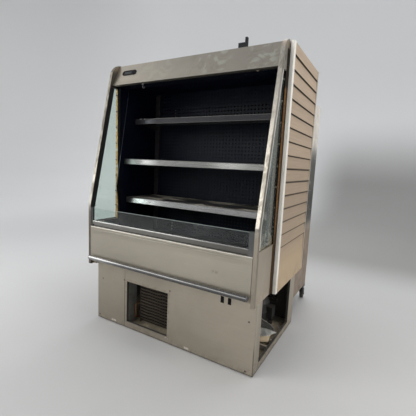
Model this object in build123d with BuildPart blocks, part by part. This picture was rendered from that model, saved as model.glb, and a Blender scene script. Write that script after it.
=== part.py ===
from build123d import *
import os

os.makedirs("parts", exist_ok=True)

# ---------------------------------------------------------------- dimensions
# millimetres; X to the right, Y to the back, Z up.  Depths below are counted
# from the front plane of the two side frames; YC moves them so that the origin
# is at the middle of the footprint, on the floor.
Y_TUBE_FRONT = -32.0      # front of the bumper tube, the foremost point
Y_WHEEL_REAR = 1366.5     # back of the castor wheels, the rearmost point
YC = (Y_TUBE_FRONT + Y_WHEEL_REAR) / 2

HALF_W = 626.0            # outer face of the slatted cladding
HALF_F = 600.0            # outer face of the side frames and insulated walls
FRAME_T = 20.0            # width of a side frame seen from the front
HALF_B = 592.0            # outer face of the base
HALF_IN = 557.0           # inner face of the insulated walls
LINER_T = 2.0             # black inner liner of a side wall

Z_TUB = 414.0             # underside of the insulated tub
Z_FLOOR = 470.0           # floor of the tub
Z_KINK = 818.0            # where the side frame starts to lean back
Y_SLANT, Z_SLANT = 183.0, 1701.0
Y_TOP, Z_TOP = 252.0, 1755.0
Z_FRAME = 1760.0          # highest point of the side frames, rounded over at the front
BAR = 24.5                # depth of the side frame's front bar
Z_WINDOW = 700.0          # lower edge of the side window
Z_WINDOW_TOP = 1600.0
Y_WALL = 233.0            # front edge of the insulated side walls
Y_POST = 260.0            # front of the corner posts and of the roof
Y_CLAD = 285.0            # front end of the slatted boards
Y_BODY = 850.0            # back of the cladding and of the side walls
Z_ROOF = 1712.0           # underside of the insulated roof

BASE_Y = 74.0             # front face of the base
BASE_REAR = 813.0         # back of the base
BASE_TOP = 412.0          # top of the base front at its ends
TUB_STEP = 442.0          # underside of the tub ahead of the base front
SHEET = 2.0               # thickness of the steel sheets

HALF_C = 560.0            # outer face of the rear casing
CASE_REAR = 1337.0        # back of the rear casing
CASE_BOTTOM = 128.0       # underside of the rear casing, on the castors
CASE_TOP = 1609.0
CASE_WALL = 45.0          # insulated wall of the rear casing

GROOVE_TOP = 1696.0       # highest lap line of the cladding
GROOVE_PITCH = 73.3
GROOVES = 15
LAP = 8.0                 # how far each board stands out over the one below

OPEN_X0, OPEN_X1 = -318.0, 19.0     # condenser opening in the base front
OPEN_Z0, OPEN_Z1 = 46.0, 326.0

PANEL_TOP = 675.0         # top edge of the stainless front panel
PANEL_BOTTOM = 440.0
TUBE_R = 15.0
TUBE_Z = 466.0
TUBE_Y = Y_TUBE_FRONT + TUBE_R

RISER_X0, RISER_X1 = -568.0, 550.0
RISER_TOP = 795.0

# shelves: front edge depth, top surface height
SHELVES = {"top": (380.0, 1421.0), "middle": (277.0, 1130.0), "bottom": (300.0, 855.0)}
SHELF_HALF = 549.0
SHELF_REAR = 596.0
RAIL_H = 40.0
UPRIGHT_Y = 598.0
BACK_Y = 612.0

COIL_X0, COIL_X1 = -280.0, 130.0    # condenser coil between its end plates
COIL_Y0, COIL_Y1 = 166.0, 226.0
COIL_ROWS, COIL_PITCH, COIL_Z = 13, 21.0, 44.0
FAN_X, FAN_Z = -75.0, 181.0
FAN_R = 104.0
LIQUID_X = -307.0     # liquid line beside the coil

SWITCH_X = (390.0, 434.5)
SWITCH_Z = 387.0

CASTOR_X, CASTOR_Y = 541.0, 1305.0
CASTOR_TRAIL = 24.0
WHEEL_R, WHEEL_W = 37.5, 24.0

EVAP_FAN_X = 0.0
EVAP_FAN_Y = 940.0


def box(x0, x1, y0, y1, z0, z1, mode=Mode.ADD):
    """Rectangular block between two corners (depths from the front plane)."""
    with Locations(((x0 + x1) / 2, (y0 + y1) / 2 - YC, (z0 + z1) / 2)):
        Box(abs(x1 - x0), abs(y1 - y0), abs(z1 - z0), mode=mode)


def rod_x(x0, x1, y, z, r, mode=Mode.ADD):
    """Round bar along X."""
    with Locations(Location(((x0 + x1) / 2, y - YC, z), (0, 90, 0))):
        Cylinder(r, abs(x1 - x0), mode=mode)


def rod_y(x, y0, y1, z, r, mode=Mode.ADD):
    """Round bar along Y."""
    with Locations(Location((x, (y0 + y1) / 2 - YC, z), (90, 0, 0))):
        Cylinder(r, abs(y1 - y0), mode=mode)


def rod_z(x, y, z0, z1, r, mode=Mode.ADD):
    """Round bar along Z."""
    with Locations((x, y - YC, (z0 + z1) / 2)):
        Cylinder(r, abs(z1 - z0), mode=mode)


def yz(points):
    """Side-view profile points moved to the part's own frame."""
    return [(y - YC, z) for y, z in points]


def slant_y(z, inset=0.0):
    """Depth of the leaning front edge of a side frame at height z."""
    return max(0.0, (z - Z_KINK) * Y_SLANT / (Z_SLANT - Z_KINK)) + inset


FRAME_PROFILE = [
    (0, Z_TUB), (0, Z_KINK), (Y_SLANT, Z_SLANT), (201, 1727), (212, 1739), (223, 1748), (237, 1754.5),
    (Y_POST, Z_FRAME), (Y_POST, Z_ROOF), (Y_WALL, Z_ROOF), (Y_WALL, Z_WINDOW_TOP),
    (slant_y(Z_WINDOW_TOP, BAR), Z_WINDOW_TOP), (BAR, Z_KINK - 2), (BAR, Z_TUB),
]
GLASS_PROFILE = [
    (BAR, Z_WINDOW), (BAR, Z_KINK - 2), (slant_y(Z_WINDOW_TOP, BAR), Z_WINDOW_TOP),
    (Y_WALL, Z_WINDOW_TOP), (Y_WALL, Z_WINDOW),
]
LINER_PROFILE = [
    (236, Z_FLOOR), (236, 700), (201, 935), (304, 1568), (308, 1638),
    (BACK_Y, 1638), (BACK_Y, Z_FLOOR),
]


def cladding_profile(side):
    """Lapped boards seen from the front; side is +1 right, -1 left."""
    pts = [(HALF_F, 410.0), (HALF_W, 410.0)]
    for k in range(GROOVES - 1, -1, -1):
        z = GROOVE_TOP - k * GROOVE_PITCH
        pts.append((HALF_W - LAP, z))
        pts.append((HALF_W, z))
    pts.append((HALF_W - 3.0, Z_TOP))
    pts.append((HALF_F, Z_TOP))
    return [(side * x, z) for x, z in pts]


# ------------------------------------------------------------------ the base
SCREW_XZ = [(-541, 298), (-341, 331), (35, 346), (553, 304),
            (-560, 9), (-120, 9), (200, 9), (541, 9)]

# floor pan: sheet on three skids, upturned louvred back, rails for the tray
with BuildPart() as base_pan:
    box(-588, 588, 78, 811, 12, 15)
    box(-588, 588, 811, 813, 12, 402)
    for x0 in (-586, -25, 536):
        box(x0, x0 + 50, 80, 811, 0, 12)
    for y0 in (330, 416):
        box(300, 574, y0, y0 + 14, 15, 44)
        box(298, 576, y0 + 2, y0 + 12, 15, 41, mode=Mode.SUBTRACT)
    with BuildSketch(Plane.XZ.offset(YC - 815)) as louvres:
        with Locations((-330, 230), (330, 230)):
            with GridLocations(0, 26, 1, 8):
                SlotOverall(300, 9)
    extrude(amount=8, mode=Mode.SUBTRACT)

# front panel of the base with the condenser opening and the switch holes
with BuildPart() as base_front_panel:
    box(-HALF_B, HALF_B, BASE_Y, BASE_Y + SHEET, 4, BASE_TOP)
    box(-HALF_IN + 1, HALF_IN - 1, BASE_Y, BASE_Y + SHEET, BASE_TOP, TUB_STEP - 2)
    box(-HALF_B + 3, HALF_B - 3, BASE_Y + SHEET, BASE_Y + 22, BASE_TOP - SHEET, BASE_TOP)
    box(OPEN_X0 - 1.6, OPEN_X1 + 1.6, BASE_Y + SHEET, BASE_Y + 18, OPEN_Z0 - 1.6, OPEN_Z1 + 1.6)
    box(OPEN_X0, OPEN_X1, BASE_Y - 5, BASE_Y + 30, OPEN_Z0, OPEN_Z1, mode=Mode.SUBTRACT)
    for x in SWITCH_X:
        box(x - 7.8, x + 7.8, BASE_Y - 5, BASE_Y + 30, SWITCH_Z - 16.8, SWITCH_Z + 16.8, mode=Mode.SUBTRACT)
    for x, z in SCREW_XZ:
        rod_y(x, BASE_Y - 5, BASE_Y + 10, z, 2.3, mode=Mode.SUBTRACT)

# closed left side of the base, with inward flanges and a row of air slots
with BuildPart() as base_side_panel_left:
    box(-HALF_B, -HALF_B + SHEET, 76, 813, 4, Z_TUB)
    box(-HALF_B + SHEET, -568, 102, 809, Z_TUB - SHEET, Z_TUB)
    box(-HALF_B + SHEET, -574, 76, 78, 4, BASE_TOP - 4)
    with BuildSketch(Plane.YZ.offset(-HALF_B - 3)) as slots:
        with Locations((440 - YC, 210)):
            with GridLocations(42, 0, 9, 1):
                SlotOverall(180, 12, rotation=90)
    extrude(amount=8, mode=Mode.SUBTRACT)

# right side of the base: a frame round the large service opening
with BuildPart() as base_side_panel_right:
    box(HALF_B - SHEET, HALF_B, 76, 813, 4, Z_TUB)
    box(568, HALF_B - SHEET, 102, 809, Z_TUB - SHEET, Z_TUB)
    box(574, HALF_B - SHEET, 76, 78, 4, BASE_TOP - 4)
    box(HALF_B - 16, HALF_B - SHEET, 150, 707, 40, 409)
    box(HALF_B - 30, HALF_B + 5, 152, 705, 43, 407, mode=Mode.SUBTRACT)

# grey duct wall from the left edge of the condenser opening back to the coil
with BuildPart() as air_baffle:
    box(-321.2, -319.7, BASE_Y + 18, 172, 15, 396)
    box(-336, -321.2, 170.5, 172, 15, 396)
    box(-336, -321.2, BASE_Y + 18, 172, 15, 16.5)

# identical pan-head screws of the base front
with BuildPart() as screws:
    for x, z in SCREW_XZ:
        rod_y(x, BASE_Y - 2.4, BASE_Y, z, 4.4)
        rod_y(x, BASE_Y, BASE_Y + 5, z, 2.2)

# two rocker switches: bezel bodies through the panel, rockers on their pivots
with BuildPart() as switch_bezels:
    for x in SWITCH_X:
        box(x - 9.5, x + 9.5, BASE_Y - 3, BASE_Y, SWITCH_Z - 19, SWITCH_Z + 19)
        box(x - 7.6, x + 7.6, BASE_Y, BASE_Y + 26, SWITCH_Z - 16.6, SWITCH_Z + 16.6)
        box(x - 6.1, x + 6.1, BASE_Y - 6, BASE_Y + 22, SWITCH_Z - 14.6, SWITCH_Z + 14.6, mode=Mode.SUBTRACT)
        rod_x(x - 7.6, x + 7.6, BASE_Y + 9, SWITCH_Z, 1.56, mode=Mode.SUBTRACT)

ROCKER = [(BASE_Y - 6.2, SWITCH_Z - 12), (BASE_Y - 2.4, SWITCH_Z), (BASE_Y - 6.2, SWITCH_Z + 12),
          (BASE_Y + 3.5, SWITCH_Z + 12.2), (BASE_Y + 12.5, SWITCH_Z + 4.5),
          (BASE_Y + 12.5, SWITCH_Z - 4.5), (BASE_Y + 3.5, SWITCH_Z - 12.2)]
with BuildPart() as rocker_left:
    with BuildSketch(Plane.YZ.offset(SWITCH_X[0] - 5.5)) as rocker_side:
        with BuildLine():
            Polyline(*yz(ROCKER), close=True)
        make_face()
    extrude(amount=11)
    rod_x(SWITCH_X[0] - 7.4, SWITCH_X[0] + 7.4, BASE_Y + 9, SWITCH_Z, 1.5)

with BuildPart() as rocker_right:
    with BuildSketch(Plane.YZ.offset(SWITCH_X[1] - 5.5)) as rocker_side:
        with BuildLine():
            Polyline(*yz(ROCKER), close=True)
        make_face()
    extrude(amount=11)
    rod_x(SWITCH_X[1] - 7.4, SWITCH_X[1] + 7.4, BASE_Y + 9, SWITCH_Z, 1.5)

# ------------------------------------------------------------ condensing unit
with BuildPart() as condenser_coil:
    box(COIL_X0 - 2, COIL_X0, COIL_Y0, COIL_Y1, 15, 316)
    box(COIL_X1, COIL_X1 + 2, COIL_Y0, COIL_Y1, 15, 316)
    with BuildSketch(Plane.YZ.offset(COIL_X0)) as tube_rows:
        with Locations((COIL_Y0 + 15 - YC, COIL_Z + COIL_PITCH * (COIL_ROWS - 1) / 2)):
            with GridLocations(0, COIL_PITCH, 1, COIL_ROWS):
                Circle(4.5)
        with Locations((COIL_Y0 + 45 - YC, COIL_Z + COIL_PITCH * (COIL_ROWS - 1) / 2)):
            with GridLocations(0, COIL_PITCH, 1, COIL_ROWS):
                Circle(4.5)
    extrude(amount=COIL_X1 - COIL_X0)
    for k in range(1, 20):
        x = COIL_X0 + k * (COIL_X1 - COIL_X0) / 20
        box(x - 0.5, x + 0.5, COIL_Y0 + 3, COIL_Y1 - 3, 32, 312)
    for y in (COIL_Y0 + 15, COIL_Y0 + 45):
        for k in range(0, COIL_ROWS - 1):
            z = COIL_Z + COIL_PITCH * (k + 0.5)
            side = 1 if k % 2 == 0 else -1
            x = COIL_X0 - 2 if side < 0 else COIL_X1 + 2
            with BuildSketch(Plane(origin=(x, y - YC, z + COIL_PITCH / 2), x_dir=(0, 1, 0), z_dir=(1, 0, 0)), mode=Mode.PRIVATE) as bend:
                Circle(4.5)
            revolve(bend.sketch, axis=Axis((x, y - YC, z), (0, side, 0)), revolution_arc=-180)

with BuildPart() as condenser_fan_shroud:
    box(COIL_X0 - 2, COIL_X1 + 2, COIL_Y1, COIL_Y1 + 2, 15, 316)
    rod_y(FAN_X, COIL_Y1 + 1, COIL_Y1 + 58, FAN_Z, 114)
    rod_y(FAN_X, COIL_Y1 - 5, COIL_Y1 + 70, FAN_Z, 111, mode=Mode.SUBTRACT)
    for a in (90, 210, 330):
        with Locations(Location((FAN_X, COIL_Y1 + 60 - YC, FAN_Z), (0, a, 0))):
            with Locations((74, 0, 0)):
                Box(80, 4, 10)
    rod_y(FAN_X, COIL_Y1 + 58, COIL_Y1 + 62, FAN_Z, 42)
    rod_y(FAN_X, COIL_Y1 + 62, COIL_Y1 + 120, FAN_Z, 36)
    rod_y(FAN_X, COIL_Y1 + 50, COIL_Y1 + 85, FAN_Z, 4.06, mode=Mode.SUBTRACT)

with BuildPart() as condenser_fan:
    rod_y(FAN_X, COIL_Y1 + 18, COIL_Y1 + 52, FAN_Z, 24)
    rod_y(FAN_X, COIL_Y1 + 52, COIL_Y1 + 80, FAN_Z, 4.0)
    for a in range(0, 360, 72):
        with Locations(Location((FAN_X, COIL_Y1 + 35 - YC, FAN_Z), (0, a, 0))):
            with Locations(Location((60, 0, 0), (32, 0, 0))):
                Box(82, 2.4, 58)
    with BuildSketch(Plane.XZ.offset(YC - COIL_Y1)) as trim_ring:
        with Locations((FAN_X, FAN_Z)):
            Circle(FAN_R + 60)
            Circle(FAN_R, mode=Mode.SUBTRACT)
    extrude(amount=-80, mode=Mode.SUBTRACT)

CMP_X, CMP_Y = 395.0, 612.0
with BuildPart() as compressor:
    with BuildSketch(Plane.XZ.offset(YC - CMP_Y)) as shell_half:
        with BuildLine():
            Polyline((CMP_X, 44), (CMP_X + 60, 44), (CMP_X + 84, 60), (CMP_X + 90, 78),
                     (CMP_X + 90, 132), (CMP_X + 94, 136), (CMP_X + 94, 142), (CMP_X + 90, 146),
                     (CMP_X + 88, 196), (CMP_X + 72, 226), (CMP_X + 40, 240), (CMP_X, 243), close=True)
        make_face()
    revolve(axis=Axis((CMP_X, CMP_Y - YC, 0), (0, 0, 1)))
    box(CMP_X - 100, CMP_X + 100, CMP_Y - 75, CMP_Y + 75, 40, 44)
    for sx in (-86, 86):
        for sy in (-62, 62):
            rod_z(CMP_X + sx, CMP_Y + sy, 15, 40, 13)
            rod_z(CMP_X + sx, CMP_Y + sy, 44, 50, 9)
    box(CMP_X + 60, CMP_X + 122, CMP_Y - 32, CMP_Y + 32, 96, 176)
    rod_x(CMP_X - 110, CMP_X - 60, CMP_Y - 20, 180, 5)

# copper pipes: discharge line to the coil, liquid line with its filter drier
COIL_Z_TOP = COIL_Z + (COIL_ROWS - 1) * COIL_PITCH
with BuildPart() as refrigerant_pipes:
    with BuildLine() as discharge:
        FilletPolyline((CMP_X - 110, CMP_Y - 20 - YC, 180), (190, CMP_Y - 20 - YC, 180), (190, CMP_Y - 20 - YC, 350),
                       (190, COIL_Y0 + 15 - YC, 350), (190, COIL_Y0 + 15 - YC, COIL_Z_TOP),
                       (COIL_X1 + 2, COIL_Y0 + 15 - YC, COIL_Z_TOP), radius=20)
    with BuildSketch(Plane(origin=(CMP_X - 110, CMP_Y - 20 - YC, 180), x_dir=(0, 1, 0), z_dir=(-1, 0, 0))) as d_ring:
        Circle(5)
    sweep(path=discharge.wires()[0])
    rod_x(COIL_X1 + 2, COIL_X1 + 15, COIL_Y0 + 45, COIL_Z_TOP, 4.0)
    rod_y(COIL_X1 + 15, COIL_Y0 + 15, COIL_Y0 + 51, COIL_Z_TOP, 4.5)
    with BuildLine() as liquid:
        FilletPolyline((LIQUID_X, COIL_Y0 + 51 - YC, COIL_Z), (LIQUID_X, 150 - YC, COIL_Z), (LIQUID_X, 150 - YC, 145),
                       (LIQUID_X, 420 - YC, 145), (LIQUID_X, 420 - YC, Z_TUB), radius=14)
    with BuildSketch(Plane(origin=(LIQUID_X, COIL_Y0 + 51 - YC, COIL_Z), x_dir=(1, 0, 0), z_dir=(0, -1, 0))) as l_ring:
        Circle(4.5)
    sweep(path=liquid.wires()[0])
    rod_x(LIQUID_X, COIL_X0 - 2, COIL_Y0 + 15, COIL_Z, 4.0)
    rod_x(LIQUID_X, COIL_X0 - 2, COIL_Y0 + 45, COIL_Z, 4.0)
    rod_z(LIQUID_X, 420, 262, 350, 15)

# evaporation tray, pushed in askew on its rails; it slides out through the side opening
TRAY_X, TRAY_Y, TRAY_TURN = 432.0, 387.0, 35.0
with BuildPart() as evaporation_tray:
    with BuildSketch(Plane.XY.offset(44)) as tray_bottom:
        with Locations((TRAY_X, TRAY_Y - YC)):
            RectangleRounded(224, 154, 8, rotation=TRAY_TURN)
    with BuildSketch(Plane.XY.offset(92)) as tray_mouth:
        with Locations((TRAY_X, TRAY_Y - YC)):
            RectangleRounded(240, 170, 10, rotation=TRAY_TURN)
    loft()
    with BuildSketch(Plane.XY.offset(47)) as hollow_bottom:
        with Locations((TRAY_X, TRAY_Y - YC)):
            RectangleRounded(218, 148, 6, rotation=TRAY_TURN)
    with BuildSketch(Plane.XY.offset(92.01)) as hollow_mouth:
        with Locations((TRAY_X, TRAY_Y - YC)):
            RectangleRounded(234, 164, 8, rotation=TRAY_TURN)
    loft(mode=Mode.SUBTRACT)
    with BuildSketch(Plane.XY.offset(90)) as rim:
        with Locations((TRAY_X, TRAY_Y - YC)):
            RectangleRounded(246, 176, 11, rotation=TRAY_TURN)
            RectangleRounded(236, 166, 8, rotation=TRAY_TURN, mode=Mode.SUBTRACT)
    extrude(amount=2)

# ------------------------------------------------------------- insulated body
with BuildPart() as tub:
    with BuildSketch(Plane.YZ.offset(-HALF_IN)) as tub_side:
        with BuildLine():
            Polyline(*yz([(BASE_Y + SHEET, Z_TUB), (Y_BODY, Z_TUB), (Y_BODY, Z_FLOOR), (38, Z_FLOOR), (38, PANEL_TOP),
                          (12.1, PANEL_TOP), (12.1, PANEL_TOP - 2.1), (3, PANEL_TOP - 2.1),
                          (3, TUB_STEP), (BASE_Y + SHEET, TUB_STEP)]), close=True)
        make_face()
    extrude(amount=2 * HALF_IN)
    box(-578, -HALF_IN, 3, BAR - 0.5, TUB_STEP, PANEL_TOP - 2.1)
    box(HALF_IN, 578, 3, BAR - 0.5, TUB_STEP, PANEL_TOP - 2.1)
    # partition between the air duct and the evaporator chamber, open below
    box(-HALF_IN, HALF_IN, 700, 730, 646, 1440)
    box(-HALF_IN, -HALF_IN + 20, 700, 730, Z_FLOOR, 646)
    box(HALF_IN - 20, HALF_IN, 700, 730, Z_FLOOR, 646)

with BuildPart() as insulated_wall_left:
    box(-HALF_F, -HALF_IN, Y_WALL, Y_BODY, Z_TUB, Z_ROOF)
    box(-HALF_F + FRAME_T - 0.5, -HALF_IN + 1, Y_WALL - 1, Y_WALL + 3, Z_ROOF - 14, Z_ROOF + 1, mode=Mode.SUBTRACT)
    with BuildSketch(Plane.YZ.offset(-HALF_IN)) as liner_left:
        with BuildLine():
            Polyline(*yz(LINER_PROFILE), close=True)
        make_face()
    extrude(amount=LINER_T)

with BuildPart() as insulated_wall_right:
    box(HALF_IN, HALF_F, Y_WALL, Y_BODY, Z_TUB, Z_ROOF)
    box(HALF_IN - 1, HALF_F - FRAME_T + 0.5, Y_WALL - 1, Y_WALL + 3, Z_ROOF - 14, Z_ROOF + 1, mode=Mode.SUBTRACT)
    with BuildSketch(Plane.YZ.offset(HALF_IN - LINER_T)) as liner_right:
        with BuildLine():
            Polyline(*yz(LINER_PROFILE), close=True)
        make_face()
    extrude(amount=LINER_T)

with BuildPart() as roof_panel:
    box(-HALF_F, HALF_F, Y_POST, Y_BODY, Z_ROOF, Z_TOP)

# rear casing: insulated evaporator chamber, raised on a skirt over the castors
with BuildPart() as rear_casing:
    box(-HALF_C, HALF_C, Y_BODY, CASE_REAR, Z_TUB, CASE_TOP)
    box(-HALF_C + CASE_WALL, HALF_C - CASE_WALL, Y_BODY - 5, CASE_REAR - CASE_WALL,
        Z_TUB + CASE_WALL, CASE_TOP - CASE_WALL, mode=Mode.SUBTRACT)
    box(-HALF_IN, HALF_IN, Y_BODY - CASE_WALL, Y_BODY, CASE_TOP - CASE_WALL, Z_ROOF)
    box(-HALF_C, HALF_C, BASE_REAR, CASE_REAR, CASE_BOTTOM, Z_TUB)
    box(-HALF_C + 3, HALF_C - 3, BASE_REAR - 5, CASE_REAR - 3, CASE_BOTTOM + 6, Z_TUB, mode=Mode.SUBTRACT)
    rear_corners = rear_casing.edges().filter_by(Axis.Z).group_by(Axis.Y)[-1]
    fillet(rear_corners, radius=4)
    # flanges that bolt the casing to the ends of the side walls
    for s in (-1, 1):
        box(s * HALF_C, s * (HALF_F - 4), Y_BODY, Y_BODY + 4, Z_TUB, CASE_TOP)
    rod_y(-400, CASE_REAR - 10, CASE_REAR + 10, 222, 10.2, mode=Mode.SUBTRACT)
    with BuildSketch(Plane.XZ.offset(YC - CASE_REAR - 5)) as rear_slots:
        with Locations((120, 260)):
            with GridLocations(0, 22, 1, 6):
                SlotOverall(420, 8)
    extrude(amount=12, mode=Mode.SUBTRACT)
    # shallow joint line round the removable service cover
    with BuildSketch(Plane.XZ.offset(YC - CASE_REAR - 1)) as cover_line:
        with Locations((0, 990)):
            Rectangle(1010, 1060)
            Rectangle(1004, 1054, mode=Mode.SUBTRACT)
    extrude(amount=2.5, mode=Mode.SUBTRACT)
    with BuildSketch(Plane.XZ.offset(YC - CASE_REAR - 1)) as cover_screws:
        with Locations((0, 990)):
            with GridLocations(484, 508, 3, 3):
                Circle(4)
                Circle(2.5, mode=Mode.SUBTRACT)
    extrude(amount=2, mode=Mode.SUBTRACT)

# where the mains cord enters: gland in the rear skirt
with BuildPart() as cable_gland:
    rod_y(-400, CASE_REAR - 8, CASE_REAR, 222, 10)
    with BuildSketch(Plane.XZ.offset(YC - CASE_REAR)) as hex_nut:
        with Locations((-400, 222)):
            RegularPolygon(14, 6)
    extrude(amount=-6)
    rod_y(-400, CASE_REAR + 6, CASE_REAR + 13, 222, 10.5)
    rod_y(-400, CASE_REAR - 20, CASE_REAR + 30, 222, 4.5, mode=Mode.SUBTRACT)

# perforated black back of the display space
with BuildPart() as back_panel:
    box(-HALF_IN + LINER_T, HALF_IN - LINER_T, BACK_Y, BACK_Y + 1.5, 562, 1638)
    with BuildSketch(Plane.XZ.offset(YC - BACK_Y - 4)) as perforation:
        for zc in (640, 770, 930, 1050, 1210, 1330, 1500):
            with Locations((0, zc)):
                with GridLocations(44, 20, 21, 3):
                    SlotOverall(24, 6)
    extrude(amount=8, mode=Mode.SUBTRACT)

with BuildPart() as slotted_uprights:
    for xc in (-526.0, 526.0):
        box(xc - 20, xc + 20, UPRIGHT_Y, BACK_Y, 578, 1632)
        box(xc - 18, xc + 18, UPRIGHT_Y + 2, BACK_Y + 1, 560, 1640, mode=Mode.SUBTRACT)
        for _, z_top in SHELVES.values():
            box(xc - 4, xc + 4, UPRIGHT_Y - 3, UPRIGHT_Y + 4, z_top - 29, z_top - 3, mode=Mode.SUBTRACT)
        with BuildSketch(Plane.XZ.offset(YC - UPRIGHT_Y - 3)) as upright_slots:
            for zc in (640, 700, 760, 940, 1000, 1060, 1220, 1280, 1340, 1480, 1540, 1590):
                with Locations((xc - 9, zc), (xc + 9, zc)):
                    Rectangle(4, 24)
        extrude(amount=6, mode=Mode.SUBTRACT)

with BuildPart() as deck_tray:
    box(-553, 553, 114, 610, 560, 562)
    box(-553, -551, 114, 610, Z_FLOOR, 560)
    box(551, 553, 114, 610, Z_FLOOR, 560)
    box(-553, 553, 608, 610, 562, 576)
    fillet(deck_tray.edges().filter_by(Axis.X).group_by(Axis.Z)[-1], radius=0.6)

# grille over the return-air channel behind the riser
with BuildPart() as return_air_grille:
    with BuildSketch(Plane.YZ.offset(-553)) as grille_side:
        with BuildLine():
            Polyline(*yz([(38.5, 640), (38.5, 643), (112, 643), (112, 563), (110, 563), (110, 640)]), close=True)
        make_face()
    extrude(amount=1106)
    with BuildSketch(Plane.XY.offset(635)) as grille_slots:
        with Locations((0, 74 - YC)):
            with GridLocations(19, 0, 57, 1):
                SlotOverall(58, 8, rotation=90)
    extrude(amount=12, mode=Mode.SUBTRACT)

# ------------------------------------------------------------- front assembly
with BuildPart() as front_panel:
    box(-578, 578, -1, 1, PANEL_BOTTOM, PANEL_TOP)
    box(-578, 578, 1, 12, PANEL_TOP - SHEET, PANEL_TOP)
    box(-578, 578, 1, 3, PANEL_BOTTOM, PANEL_BOTTOM + 40)
    fillet(front_panel.edges().filter_by(Axis.X).group_by(Axis.Z)[-1].sort_by(Axis.Y)[0], radius=1.5)

with BuildPart() as bumper_tube:
    rod_x(-566, 566, TUBE_Y, TUBE_Z, TUBE_R)
    rod_x(-570, 570, TUBE_Y, TUBE_Z, TUBE_R - 1.5, mode=Mode.SUBTRACT)

with BuildPart() as bumper_end_caps:
    for s in (-1, 1):
        rod_x(s * 558, s * 566, TUBE_Y, TUBE_Z, TUBE_R - 1.5)
        rod_x(s * 566, s * 570, TUBE_Y, TUBE_Z, TUBE_R)

with BuildPart() as riser_rail:
    with BuildSketch(Plane.YZ.offset(RISER_X0)) as channel:
        with BuildLine():
            Polyline(*yz([(6, PANEL_TOP + 15), (6, 712), (11.5, 712), (11.5, 694), (17.5, 694),
                          (17.5, 712), (24, 712), (24, PANEL_TOP + 15)]), close=True)
        make_face()
    extrude(amount=RISER_X1 - RISER_X0)
    box(RISER_X0, RISER_X1, 12.2, 24, PANEL_TOP, PANEL_TOP + 15)
    fillet(riser_rail.edges().filter_by(Axis.X).group_by(Axis.Z)[-1].sort_by(Axis.Y)[0], radius=2)

with BuildPart() as riser_glass:
    box(RISER_X0 + 2, RISER_X1 - 2, 11.5, 17.5, 694, RISER_TOP)
    chamfer(riser_glass.edges().filter_by(Axis.X).group_by(Axis.Z)[-1], length=1)

with BuildPart() as riser_end_posts:
    box(-578, RISER_X0, 4, 24, PANEL_TOP, RISER_TOP + 3)
    box(RISER_X1, 578, 4, 24, PANEL_TOP, RISER_TOP + 3)
    fillet(riser_end_posts.edges().filter_by(Axis.Y).group_by(Axis.Z)[-1], radius=2)

# ----------------------------------------------------------------- side ends
with BuildPart() as side_frame_left:
    with BuildSketch(Plane.YZ.offset(-HALF_F)) as frame_side:
        with BuildLine():
            Polyline(*yz(FRAME_PROFILE), close=True)
        make_face()
    extrude(amount=FRAME_T)

with BuildPart() as side_frame_right:
    with BuildSketch(Plane.YZ.offset(HALF_F - FRAME_T)) as frame_side:
        with BuildLine():
            Polyline(*yz(FRAME_PROFILE), close=True)
        make_face()
    extrude(amount=FRAME_T)

with BuildPart() as side_glass_left:
    with BuildSketch(Plane.YZ.offset(-592)) as pane:
        with BuildLine():
            Polyline(*yz(GLASS_PROFILE), close=True)
        make_face()
    extrude(amount=5)

with BuildPart() as side_glass_right:
    with BuildSketch(Plane.YZ.offset(587)) as pane:
        with BuildLine():
            Polyline(*yz(GLASS_PROFILE), close=True)
        make_face()
    extrude(amount=5)

with BuildPart() as side_lower_panel_left:
    box(-598, -HALF_IN, BAR, Y_WALL, Z_TUB, Z_WINDOW)
    box(-HALF_IN - 1, -HALF_IN + 5, 20, 38, Z_TUB - 5, 720, mode=Mode.SUBTRACT)

with BuildPart() as side_lower_panel_right:
    box(HALF_IN, 598, BAR, Y_WALL, Z_TUB, Z_WINDOW)
    box(HALF_IN - 5, HALF_IN + 1, 20, 38, Z_TUB - 5, 720, mode=Mode.SUBTRACT)

with BuildPart() as corner_posts:
    box(-HALF_W, -605, Y_POST, Y_CLAD, 410, Z_TOP)
    box(605, HALF_W, Y_POST, Y_CLAD, 410, Z_TOP)
    fillet(corner_posts.edges().filter_by(Axis.Z).group_by(Axis.Y)[0], radius=3)

with BuildPart() as cladding_left:
    with BuildSketch(Plane.XZ.offset(YC - Y_CLAD)) as boards:
        with BuildLine():
            Polyline(*cladding_profile(-1), close=True)
        make_face()
    extrude(amount=-(Y_BODY - 12 - Y_CLAD))
    box(-HALF_W, -HALF_F, Y_BODY - 12, Y_BODY, 410, Z_TOP)

with BuildPart() as cladding_right:
    with BuildSketch(Plane.XZ.offset(YC - Y_CLAD)) as boards:
        with BuildLine():
            Polyline(*cladding_profile(1), close=True)
        make_face()
    extrude(amount=-(Y_BODY - 12 - Y_CLAD))
    box(HALF_F, HALF_W, Y_BODY - 12, Y_BODY, 410, Z_TOP)

# -------------------------------------------------------------------- canopy
with BuildPart() as canopy_fascia:
    with BuildSketch(Plane.YZ.offset(-HALF_F + FRAME_T)) as fascia_side:
        with BuildLine():
            Polyline(*yz([(184, 1614), (Y_TOP, Z_TOP), (Y_POST, Z_TOP), (Y_POST, Z_TOP - 2.5), (253.6, Z_TOP - 2.5),
                          (187.6, 1615.7), (207, 1611.2), (206.5, 1608.7)]), close=True)
        make_face()
    extrude(amount=2 * (HALF_F - FRAME_T))

with BuildPart() as canopy_soffit:
    box(-555, 555, 300, BACK_Y, 1638, 1640)
    box(-555, 555, 300, 302, 1640, Z_ROOF)
    box(-555, 555, 228, 230, 1636, 1688)
    box(-555, -553, 246, 300, 1640, Z_ROOF)
    box(553, 555, 246, 300, 1640, Z_ROOF)

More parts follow.
